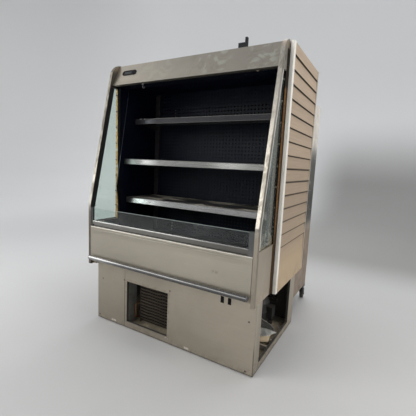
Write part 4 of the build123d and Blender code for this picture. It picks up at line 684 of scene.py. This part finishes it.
m = Mat("castor_black", (0.020, 0.020, 0.020), 0.42, 0.35)
m.vary(30.0, 0.3, 4.0)
m.dust((0.17, 0.145, 0.11), 0.7, 30.0)
m.layer(m.step(m.noise(60.0, 5.0, 0.7), 0.56, 0.70), (0.11, 0.075, 0.045), 0.85, 0.0, 0.5)
m.bump(m.noise(240.0, 3.0), 0.0003, 0.4)
castor = m.done()
for n in ("castor_mounts", "castor_fork_left", "castor_fork_right"):
    assign(n, castor)
for side in ("left", "right"):
    m = Mat("wheel_" + side, (0.022, 0.021, 0.020), 0.62, 0.0)
    lo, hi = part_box("castor_wheel_" + side)
    dy = m.math("SUBTRACT", m.yy, (lo[1] + hi[1]) / 2)
    dz = m.math("SUBTRACT", m.z, (lo[2] + hi[2]) / 2)
    r = m.math("SQRT", m.math("ADD", m.mul(dy, dy), m.mul(dz, dz)))
    m.layer(m.step(r, 0.0265, 0.0258), (0.110, 0.080, 0.052), 0.55, 0.0, 1.0)
    m.layer(m.step(r, 0.0062, 0.0055), (0.24, 0.22, 0.195), 0.4, 0.7, 0.8)
    m.vary(45.0, 0.25, 5.0)
    m.layer(m.step(m.noise(52.0, 6.0, 0.7), 0.52, 0.66), (0.19, 0.165, 0.13), 0.9, 0.0, 0.5)
    m.bump(m.noise(200.0, 4.0), 0.0005, 0.4)
    assign("castor_wheel_" + side, m.done())

m = Mat("screw_zinc", (0.13, 0.115, 0.095), 0.46, 0.7)
m.vary(120.0, 0.25, 3.0)
m.layer(m.step(m.noise(160.0, 5.0, 0.7), 0.50, 0.66), (0.10, 0.075, 0.05), 0.8, 0.2, 0.7)
screw_mat = m.done()
assign("screws", screw_mat)


def glass(name, tint, rough=0.02, edge=None, haze=0.25, ior=1.45, grit=16.0, fine=3.0):
    """Clear pane with wiped haze and, where asked, an opaque black border."""
    m = Mat(name, tint, rough, 0.0, IOR=ior)
    h = m.step(m.noise(4.0, 3.0, 0.55, m.stretch(1.0, 1.0, 0.45), 1.0), 0.48, 0.76)
    m.rgh = m.mixf(m.math("MULTIPLY", h, haze), rough, 0.045)
    dirt = m.step(m.noise(grit, fine, 0.6), 0.56, 0.74)
    trans = m.mixf(m.math("MULTIPLY", dirt, haze * 0.35), 0.985, 0.35)
    if edge is not None:
        mask = edge(m)
        m.col = m.mix(m.step(m.z, 1.05, 0.80), m.col, tuple(c * 0.955 for c in tint))
        m.col = m.mix(mask, m.col, (0.006, 0.006, 0.007))
        m.rgh = m.mixf(mask, m.rgh, 0.3)
        trans = m.mixf(mask, trans, 0.0)
    m.trans = trans
    return m


def side_border(m):
    """Black edge band along the leaning front of a side pane and round its rear."""
    lean = m.math("SUBTRACT", m.y, m.math("MULTIPLY", m.math("SUBTRACT", m.z, 0.818), 0.183 / 0.883))
    slope = m.step(lean, 0.0375, 0.0365)
    straight = m.mul(m.step(m.y, 0.0375, 0.0365), m.step(m.z, 0.82, 0.81))
    return m.math("MAXIMUM", m.mul(slope, m.step(m.z, 0.80, 0.82)), m.math("MAXIMUM", straight, m.step(m.z, 0.7065, 0.7055)))


assign("side_glass_left", glass("side_pane_left", (0.80, 0.915, 0.855), 0.02, side_border, 0.20).done())
m = glass("side_pane_right", (0.80, 0.905, 0.850), 0.02, side_border, 0.55)
# painted reflections: lighter vertical streaks above 0.8 m and brown streaks below 1.35 m
lines = m.noise(1.0, 4.0, 0.6, m.stretch(1.0, 60.0, 1.2), 0.3)
streak = m.mul(m.step(lines, 0.54, 0.66), m.step(m.z, 0.73, 0.80))
m.col = m.mix(m.math("MULTIPLY", streak, 0.5), m.col, (0.56, 0.60, 0.56))
m.trans = m.mixf(m.math("MULTIPLY", streak, 0.5), m.trans, 0.72)
brown = m.mul(m.step(lines, 0.46, 0.36), m.step(m.z, 1.35, 1.10))
m.col = m.mix(m.math("MULTIPLY", brown, 0.8), m.col, (0.42, 0.40, 0.30))
mud = m.mul(m.step(m.z, 0.80, 0.72), m.step(m.noise(24.0, 6.0, 0.66), 0.40, 0.60))
m.col = m.mix(mud, m.col, (0.30, 0.25, 0.16))
m.trans = m.mixf(mud, m.trans, 0.45)
assign("side_glass_right", m.done())
m = glass("riser_pane", (0.80, 0.845, 0.835), 0.02, None, 0.22, 1.22, 7.0, 2.0)
top_edge = m.step(m.z, 0.7936, 0.7942)
m.col = m.mix(top_edge, m.col, (0.46, 0.54, 0.51))
m.rgh = m.mixf(top_edge, m.rgh, 0.35)
m.trans = m.mixf(top_edge, m.trans, 0.25)
assign("riser_glass", m.done())


# --------------------------------------------------------------- mesh helpers
def P(x, y, z):
    """Millimetres from the front plane to metres in the part's frame."""
    return Vector((x / 1000.0, y / 1000.0 - YC, z / 1000.0))


def mesh_piece(name, verts, faces, mat, body="cabinet", slot=None, smooth=False):
    me = bpy.data.meshes.new(name)
    me.from_pydata([tuple(v) for v in verts], [], faces)
    me.update()
    me.materials.append(mat)
    if smooth:
        for p in me.polygons:
            p.use_smooth = True
    o = bpy.data.objects.new(name, me)
    bpy.context.scene.collection.objects.link(o)
    bm = bmesh.new()
    bm.from_mesh(me)
    bmesh.ops.recalc_face_normals(bm, faces=bm.faces)
    bm.to_mesh(me)
    bm.free()
    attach(o, body)
    return o


def soften(o, width, segments=2, angle=40):
    b = o.modifiers.new("edge", "BEVEL")
    b.width = width
    b.segments = segments
    b.limit_method = "ANGLE"
    b.angle_limit = math.radians(angle)
    b.use_clamp_overlap = True
    return o


def prism_x(profile, x0, x1):
    """Closed profile of (y, z) points pulled from x0 to x1; all in millimetres."""
    n = len(profile)
    v = [P(x0, y, z) for y, z in profile] + [P(x1, y, z) for y, z in profile]
    f = [tuple(range(n - 1, -1, -1)), tuple(range(n, 2 * n))]
    f += [(i, (i + 1) % n, n + (i + 1) % n, n + i) for i in range(n)]
    return v, f


def add(parts):
    """Join several (verts, faces) lists into one."""
    v, f = [], []
    for pv, pf in parts:
        k = len(v)
        v += list(pv)
        f += [tuple(i + k for i in q) for q in pf]
    return v, f


def block(x0, x1, y0, y1, z0, z1):
    v = [P(x, y, z) for x in (x0, x1) for y in (y0, y1) for z in (z0, z1)]
    f = [(0, 1, 3, 2), (4, 6, 7, 5), (0, 4, 5, 1), (2, 3, 7, 6), (0, 2, 6, 4), (1, 5, 7, 3)]
    return v, f


def plate(xs, zs, keep, y0, y1):
    """Sheet of cells in the XZ plane between depths y0 and y1; keep(i, j) says which are solid."""
    nx, nz = len(xs), len(zs)
    v = [P(x, y0, z) for z in zs for x in xs] + [P(x, y1, z) for z in zs for x in xs]
    k = nx * nz
    f = []

    def solid(i, j):
        return 0 <= i < nx - 1 and 0 <= j < nz - 1 and keep(i, j)

    for j in range(nz - 1):
        for i in range(nx - 1):
            if not solid(i, j):
                continue
            a, b, c, d = j * nx + i, j * nx + i + 1, (j + 1) * nx + i + 1, (j + 1) * nx + i
            f.append((a, b, c, d))
            f.append((a + k, d + k, c + k, b + k))
            if not solid(i, j - 1):
                f.append((a, a + k, b + k, b))
            if not solid(i + 1, j):
                f.append((b, b + k, c + k, c))
            if not solid(i, j + 1):
                f.append((c, c + k, d + k, d))
            if not solid(i - 1, j):
                f.append((d, d + k, a + k, a))
    used = sorted({i for q in f for i in q})
    new = {o: n for n, o in enumerate(used)}
    return [v[i] for i in used], [tuple(new[i] for i in q) for q in f]


def turned(profile, centre, axis, n=24):
    """Solid of revolution: profile of (radius, height) from base to top, about an axis."""
    axis = Vector(axis).normalized()
    side = axis.orthogonal().normalized()
    other = axis.cross(side)
    v, f = [], []
    for r, h in profile:
        for k in range(n):
            a = 2 * math.pi * k / n
            v.append(centre + (axis * h + (side * math.cos(a) + other * math.sin(a)) * r) / 1000.0)
    for i in range(len(profile) - 1):
        for k in range(n):
            f.append((i * n + k, i * n + (k + 1) % n, (i + 1) * n + (k + 1) % n, (i + 1) * n + k))
    f.append(tuple(range(n - 1, -1, -1)))
    f.append(tuple(range((len(profile) - 1) * n, len(profile) * n)))
    return v, f


def wire(name, pts, r, mat, body="cabinet", cyclic=False):
    cu = bpy.data.curves.new(name, "CURVE")
    cu.dimensions = "3D"
    cu.bevel_depth = r
    cu.bevel_resolution = 4
    cu.use_fill_caps = True
    sp = cu.splines.new("BEZIER")
    sp.bezier_points.add(len(pts) - 1)
    for bp, p in zip(sp.bezier_points, pts):
        bp.co = p
        bp.handle_left_type = bp.handle_right_type = "AUTO"
    sp.use_cyclic_u = cyclic
    o = bpy.data.objects.new(name, cu)
    bpy.context.scene.collection.objects.link(o)
    cu.materials.append(mat)
    me = bpy.data.meshes.new_from_object(o)
    bpy.data.objects.remove(o)
    o = bpy.data.objects.new(name, me)
    bpy.context.scene.collection.objects.link(o)
    for p in me.polygons:
        p.use_smooth = True
    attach(o, body)
    return o


# ------------------------------------------------------------------- the base
# separate cover sheets left and right of the condenser opening
def cover_cells(x0, x1, holes):
    xs = sorted({x0, x1, *[x for x in (-555.0, 555.0) if x0 < x < x1], *[h for a in holes for h in a[:2]]})
    zs = sorted({5.0, 410.0, 438.0, *[h for a in holes for h in a[2:]]})

    def keep(i, j):
        cx, cz = (xs[i] + xs[i + 1]) / 2, (zs[j] + zs[j + 1]) / 2
        if abs(cx) > 555.0 and cz > 410.0:
            return False
        return not any(a[0] < cx < a[1] and a[2] < cz < a[3] for a in holes)

    return plate(xs, zs, keep, 72.7, 74.0)


holes = []
for n in ("rocker_left", "rocker_right"):
    lo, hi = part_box(n)
    cx, cz = (lo[0] + hi[0]) * 500.0, (lo[2] + hi[2]) * 500.0
    holes.append((cx - 9.5, cx + 9.5, cz - 19.0, cz + 19.0))
o = mesh_piece("base_cover_left", *cover_cells(-591.0, -336.5, []), base_steel("base_cover_left_steel").done(), slot="base_sheet")
soften(o, 0.0005, 2)
o = mesh_piece("base_cover_right", *cover_cells(30.0, 591.0, holes), base_steel("base_cover_right_steel").done(), slot="base_sheet")
soften(o, 0.0005, 2)

# fins of the condenser coil: thin bent sheets, furred with dust
m = Mat("fin_dust", (0.040, 0.034, 0.028), 0.7, 0.3)
ph = m.math("FRACT", m.math("ADD", m.math("DIVIDE", m.math("SUBTRACT", m.z, 0.044), 0.021), m.step(m.noise(9.0, 2.0), 0.3, 0.7, -0.16, 0.16)))
row = m.math("ABSOLUTE", m.math("SUBTRACT", ph, 0.5))
m.layer(m.step(row, 0.16, 0.42), (0.270, 0.220, 0.165), 0.95, 0.0, 0.85)
m.layer(m.mul(m.step(row, 0.30, 0.46), m.step(m.noise(28.0, 4.0), 0.46, 0.62)), (0.33, 0.30, 0.25), 0.85, 0.1, 0.65)
m.layer(m.step(m.noise(7.0, 4.0), 0.56, 0.68), (0.018, 0.015, 0.012), 0.9, 0.0, 0.75)
fin_mat = m.done()
parts = []
steps = 18
for i in range(1, 118):
    x = -281.0 + i * 412.0 / 118
    if i % 6 == 0:
        continue
    ph = rng.uniform(0, 6.28)
    v, f = [], []
    for j in range(steps + 1):
        z = 33.0 + 277.0 * j / steps
        w = 0.7 * math.sin(j * 1.1 + ph) + rng.uniform(-0.25, 0.25)
        for dx, y in ((-0.18, 167.4), (0.18, 167.4), (0.18, 173.0), (-0.18, 173.0)):
            v.append(P(x + dx + (w if y < 170 else 0.0), y, z))
    for j in range(steps):
        a = j * 4
        for q in range(4):
            f.append((a + q, a + (q + 1) % 4, a + 4 + (q + 1) % 4, a + 4 + q))
    f.append((3, 2, 1, 0))
    f.append((steps * 4, steps * 4 + 1, steps * 4 + 2, steps * 4 + 3))
    parts.append((v, f))
mesh_piece("condenser_fins", *add(parts), fin_mat, slot="coil_metal")

# pressed washers under the heads of the base screws
parts = []
for x, z in ((-541, 298), (-341, 331), (35, 346), (553, 304), (-560, 9), (-120, 9), (200, 9), (541, 9)):
    y = 72.7 if not -336 < x < 30 else 74.0
    if z < 20 and -336 < x < 30:
        y = 74.0
    parts.append(turned([(5.6, 0.0), (5.6, 0.5), (5.0, 1.0), (4.2, 1.1)] if z > 20 else [(4.9, 0.0), (4.9, 0.4), (4.5, 0.8), (4.2, 0.9)], P(x, y, z), (0, -1, 0), 20))
mesh_piece("screw_washers", *add(parts), screw_mat, slot="screw_steel")

# loose bent sheet lying askew on the evaporation tray, its rear corner hanging over the rim
lo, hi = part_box("evaporation_tray")
if hi[2] < 0.1:
    m = Mat("loose_zinc", (0.50, 0.50, 0.47), 0.45, 0.55)
    m.vary(16.0, 0.14, 5.0)
    m.layer(m.step(m.noise(24.0, 6.0, 0.7), 0.50, 0.66), (0.20, 0.18, 0.145), 0.85, 0.0, 0.65)
    # painted light: the tip nearest the side opening is whitened in patches
    m.layer(m.mul(m.step(m.x, 0.555, 0.575), m.step(m.noise(50.0, 4.0), 0.35, 0.55)), (0.86, 0.85, 0.80), 0.6, 0.0, 0.85)
    m.bump(m.noise(60.0, 4.0), 0.001, 0.4)
    top = [(500, 318, 96), (531, 333, 97), (566, 359, 97.5), (580, 404, 92), (584, 452, 78), (583, 496, 60),
           (566, 478, 74), (547, 452, 90), (520, 425, 103), (490, 398, 112), (470, 372, 110)]
    n = len(top)
    v = [P(*q) for q in top] + [P(x, y, z - 1.2) for x, y, z in top]
    f = []
    for a, b, c in ((0, 1, 10), (1, 9, 10), (1, 8, 9), (1, 2, 8), (2, 7, 8), (2, 3, 7), (3, 6, 7), (3, 4, 6), (4, 5, 6)):
        f.append((a, b, c))
        f.append((a + n, c + n, b + n))
    f += [(i, i + n, (i + 1) % n + n, (i + 1) % n) for i in range(n)]
    mesh_piece("loose_sheet", v, f, m.done(), body="tray", slot="base_sheet")
    # its upturned rear edge: the same zinc painted dark as shade, dusty, with a bright cut edge
    m = Mat("loose_zinc_painted_shade", (0.028, 0.028, 0.024), 0.7, 0.2)
    m.vary(20.0, 0.3, 5.0)
    m.layer(m.step(m.noise(40.0, 5.0, 0.7), 0.54, 0.68), (0.075, 0.066, 0.050), 0.9, 0.0, 0.6)
    up_pts = [(470, 373, 111), (490, 399, 113), (520, 426, 104), (547, 453, 91), (566, 479, 75),
              (563, 484, 92), (544, 460, 124), (514, 434, 150), (480, 408, 176), (458, 384, 186)]
    n = len(up_pts)
    v = [P(*q) for q in up_pts] + [P(x + 0.9, y - 0.9, z) for x, y, z in up_pts]
    f = []
    for a, b, c, d in ((0, 1, 8, 9), (1, 2, 7, 8), (2, 3, 6, 7), (3, 4, 5, 6)):
        f.append((a, b, c, d))
        f.append((a + n, d + n, c + n, b + n))
    f += [(i, i + n, (i + 1) % n + n, (i + 1) % n) for i in range(n)]
    mesh_piece("loose_sheet_flange", v, f, m.done(), body="tray", slot="base_sheet")
    m = steel("loose_edge", (0.42, 0.41, 0.37), 0.4, "x", 0.1, 0.04, 0.4)
    wire("loose_sheet_edge", [P(458.5, 384, 186.4), P(480.5, 408, 176.4), P(514.5, 434, 150.4), P(544.5, 460, 124.4), P(563.5, 484, 92.4)], 0.0009, m.done(), "tray")

# ------------------------------------------------------------ the display side
# perforated back sheet
pitch, hole = 25.0, 10.0
xs, zs = [-555.0], [562.0]
x = -537.5
while x < 540:
    xs += [x - hole / 2, x + hole / 2]
    x += pitch
xs.append(555.0)
z = 592.0
while z < 1625:
    zs += [z - hole / 2, z + hole / 2]
    z += pitch
zs.append(1638.0)
v, f = plate(xs, zs, lambda i, j: not (i % 2 == 1 and j % 2 == 1), 612.0, 613.5)
m = black("perforated_black", (0.0032, 0.0052, 0.0120), 0.50, 0.12, **{"Specular IOR Level": 0.14})
m.layer(m.mul(m.step(m.noise(4.5, 3.0, 0.55, None, 0.8), 0.46, 0.72), m.step(m.z, 1.50, 1.20)), (0.0090, 0.0135, 0.0180), 0.5, 0.0, 0.7)
m.layer(m.mul(m.step(m.noise(40.0, 2.0, 0.6), 0.64, 0.78), m.step(m.z, 1.40, 1.15)), (0.045, 0.046, 0.044), 0.8, 0.0, 0.35)
o = mesh_piece("perforated_back", v, f, m.done(), slot="black_sheet")
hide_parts("back_panel")

# bright trims on the leaning front edges of the liners
trim = steel("trim_alu", (0.135, 0.160, 0.190), 0.36, "z", 0.05, 0.04, 0.3, 0.6)
trim.layer(trim.math("MAXIMUM", trim.step(trim.z, 0.955, 0.935), trim.step(trim.z, 1.545, 1.565)), (0.004, 0.005, 0.008), 0.6, 0.0, 1.0)
trim_mat = trim.done()
for s, side in ((-1, "left"), (1, "right")):
    pts = [(236, 700), (201, 935), (304, 1568), (308, 1637)]
    parts = []
    for (ya, za), (yb, zb) in zip(pts, pts[1:]):
        d = Vector((yb - ya, zb - za)).normalized() * 0.0
        prof = [(ya, za), (ya + 3.4, za), (yb + 3.4, zb), (yb, zb)]
        parts.append(prism_x(prof, s * 555.0, s * 553.6))
    o = mesh_piece("liner_trim_" + side, *add(parts), trim_mat, slot="rail_metal")

# rubber seal on the inner face of each side frame's bar
m = Mat("seal_rubber", (0.010, 0.010, 0.011), 0.55, 0.0)
m.vary(60.0, 0.25, 4.0)
m.layer(m.step(m.noise(40.0, 5.0, 0.7), 0.60, 0.72), (0.06, 0.055, 0.048), 0.85, 0.0, 0.4)
m.bump(m.noise(300.0, 2.0), 0.0002, 0.3)
seal = m.done()


def lean(z):
    return max(0.0, (z - 818.0) * 183.0 / 883.0)


for s, side in ((-1, "left"), (1, "right")):
    zs_ = [802.0, 818.0, 1000.0, 1200.0, 1400.0, 1598.0]
    prof = [(lean(z) + 4.0, z) for z in zs_] + [(lean(z) + 38.0, z) for z in reversed(zs_)]
    o = mesh_piece("pane_seal_" + side, *prism_x(prof, s * 580.0, s * 578.6), seal, slot="black_plastic")
    soften(o, 0.0005, 2)

# bright glazing bead along the outer face of each side pane, behind the frame's bar
m = steel("bead_steel", (0.80, 0.77, 0.70), 0.36, "z", 0.08, 0.04, 0.45, 0.45)
m.layer(m.step(m.noise(22.0, 6.0, 0.66), 0.52, 0.64), (0.36, 0.33, 0.28), 0.5, None, 0.5)
bead = m.done()
for s, side in ((-1, "left"), (1, "right")):
    zs_ = [706.0, 818.0, 1000.0, 1200.0, 1400.0, 1596.0]
    prof = [(lean(z) + 25.0, z) for z in zs_] + [(lean(z) + 36.5, z) for z in reversed(zs_)]
    o = mesh_piece("glazing_bead_" + side, *prism_x(prof, s * 592.3, s * 599.4), bead, slot="stainless")
    soften(o, 0.0010, 2)

# small clips that hold the side panes against the wall edges
m = steel("clip_zinc", (0.16, 0.150, 0.130), 0.42, "z", 0.06, 0.04, 0.3)
clip_mat = m.done()
m = steel("hook_zinc", (0.20, 0.20, 0.19), 0.40, "z", 0.06, 0.04, 0.3)
hook_mat = m.done()
for s, side in ((-1, "left"), (1, "right")):
    parts = []
    for z in (795, 900, 1010, 1120, 1235, 1345, 1452, 1560):
        parts.append(block(s * 584, s * 596, 229.5, 233.0, z - 5, z + 5))
        parts.append(block(s * 588, s * 592.4, 222.0, 229.5, z - 3, z + 3))
    v, f = add(parts)
    o = mesh_piece("pane_clips_" + side, v, f, clip_mat, slot="screw_steel")
    soften(o, 0.0008, 2)

# hook and clip under the canopy lip
wire("canopy_hook", [P(-328, 207, 1611), P(-328, 204, 1600), P(-327, 201, 1590), P(-325, 205, 1583), P(-322, 212, 1585), P(-321, 213, 1592)], 0.0016, hook_mat)
v, f = add([block(-336, -320, 200.0, 208.0, 1605.5, 1609.0)])
soften(mesh_piece("canopy_hook_plate", v, f, hook_mat, slot="screw_steel"), 0.001)
v, f = add([block(450, 472, 196.0, 208.0, 1606.0, 1609.5), block(457, 465, 196.0, 199.0, 1601.5, 1606.0)])
m = steel("clip_brown", (0.105, 0.088, 0.068), 0.5, "z", 0.06, 0.04, 0.3)
soften(mesh_piece("canopy_clip", v, f, m.done(), slot="screw_steel"), 0.0012)

# ----------------------------------------------------------- stage and lights
m = Mat("studio_floor", (0.50, 0.50, 0.498), 0.62, 0.0)
m.vary(0.5, 0.02, 3.0)
m.layer(m.step(m.noise(1.6, 5.0, 0.6), 0.45, 0.75), (0.48, 0.477, 0.470), 0.55, 0.0, 0.5)
# painted light: a brighter pool on the floor to the left
m.layer(m.mul(m.step(m.x, -0.2, -2.2), m.step(m.z, 0.3, 0.1)), (0.60, 0.60, 0.60), None, None, 0.9)
wall = m.step(m.math("SQRT", m.math("ADD", m.mul(m.x, m.x), m.mul(m.yy, m.yy))), 3.2, 6.4)
m.layer(wall, (0.68, 0.685, 0.69), 0.8, 0.0, 1.0)
# painted shadow: the back of the studio is darkened on the right, low down, and its glow is cut there
painted_wall_shadow = m.mul(m.step(m.x, -1.3, 0.2), m.step(m.yy, 1.2, 2.4), m.step(m.z, 2.55, 0.70))
m.layer(painted_wall_shadow, (0.27, 0.27, 0.257), 0.8, 0.0, 0.9)
# painted shade: the far left of the studio is darkened
m.tint(m.step(m.x, -4.8, -6.8, 1.0, 0.88))
m.bump(m.noise(30.0, 2.0), 0.0003, 0.15)
# painted light: the studio wall glows faintly, less at the far left and not at all in the painted shadow
m.p.inputs["Emission Color"].default_value = (0.97, 0.98, 1.0, 1.0)
m.put(m.p.inputs["Emission Strength"], m.math("MULTIPLY", m.mul(wall, m.math("SUBTRACT", 1.0, painted_wall_shadow), m.step(m.x, -4.8, -6.8, 1.0, 0.5)), 0.085))
floor_mat = m.done()
prof = [(0.0, 0.0), (3.0, 0.0), (4.2, 0.0), (5.2, 0.05), (6.1, 0.30), (6.7, 0.80), (7.1, 1.6), (7.3, 3.0), (7.3, 7.2)]
n = 96
v, f = [Vector((0, 0, 0))], []
for r, h in prof[1:]:
    for k in range(n):
        a = 2 * math.pi * k / n
        v.append(Vector((r * math.cos(a), r * math.sin(a), h)))
for k in range(n):
    f.append((0, 1 + k, 1 + (k + 1) % n))
for i in range(len(prof) - 2):
    for k in range(n):
        f.append((1 + i * n + k, 1 + i * n + (k + 1) % n, 1 + (i + 1) * n + (k + 1) % n, 1 + (i + 1) * n + k))
me = bpy.data.meshes.new("studio_cove")
me.from_pydata([tuple(p) for p in v], [], [tuple(reversed(q)) if len(q) == 3 else q for q in f])
me.materials.append(floor_mat)
for p in me.polygons:
    p.use_smooth = True
cove = bpy.data.objects.new("studio_cove", me)
bpy.context.scene.collection.objects.link(cove)

world = bpy.data.worlds.new("studio")
bpy.context.scene.world = world
world.use_nodes = True
world.node_tree.nodes["Background"].inputs[0].default_value = (0.92, 0.95, 1.0, 1.0)
world.node_tree.nodes["Background"].inputs[1].default_value = 0.55


def softbox(name, loc, target, sx, sy, power, color=(1, 1, 1)):
    li = bpy.data.lights.new(name, "AREA")
    li.shape = "RECTANGLE"
    li.size, li.size_y = sx, sy
    li.energy = power
    li.color = color
    o = bpy.data.objects.new(name, li)
    o.location = loc
    o.rotation_mode = "QUATERNION"
    o.rotation_quaternion = (Vector(target) - Vector(loc)).to_track_quat("-Z", "Y")
    o.visible_camera = False
    bpy.context.scene.collection.objects.link(o)
    return o


softbox("key", (-3.6, -4.0, 3.6), (0, 0, 0.9), 3.4, 3.0, 140, (1.0, 0.98, 0.95))
softbox("front", (-0.9, -4.6, 2.5), (0, -0.3, 1.2), 1.6, 2.0, 32, (1.0, 0.98, 0.95))
softbox("top", (0.4, 1.5, 5.4), (0, 0, 0.5), 4.4, 4.4, 95, (0.98, 0.99, 1.0))
softbox("right", (4.8, -0.4, 2.8), (0.4, 0.3, 1.0), 2.4, 3.0, 80, (1.0, 0.95, 0.88))
softbox("strip", (-3.3, -3.1, 1.5), (0, -0.3, 1.1), 1.1, 2.4, 22, (0.95, 0.98, 1.0))
softbox("back", (-0.5, 4.8, 3.6), (0, 0.4, 0.8), 3.0, 2.0, 45)

scene = bpy.context.scene
scene.view_settings.view_transform = "Standard"
scene.view_settings.exposure = 0.0

# --------------------------------------------------------------------- camera
cam_data = bpy.data.cameras.new("photo_camera")
cam_data.sensor_width = 36.0
cam_data.lens = 314.5057 / 416.0 * 36.0
cam_data.clip_start = 0.05
cam_data.clip_end = 60.0
cam = bpy.data.objects.new("photo_camera", cam_data)
scene.collection.objects.link(cam)
right = Vector((0.86280775, 0.50338791, 0.04651243))
up = Vector((-0.10654134, 0.09112581, 0.99012374))
back = Vector((0.49417784, -0.85924193, 0.13225568))
rot = Matrix((right, up, back)).transposed().to_4x4()
cam.matrix_world = Matrix.Translation(Vector((1.11869135, -1.39779176 - YC, 1.1050081))) @ rot
scene.camera = cam
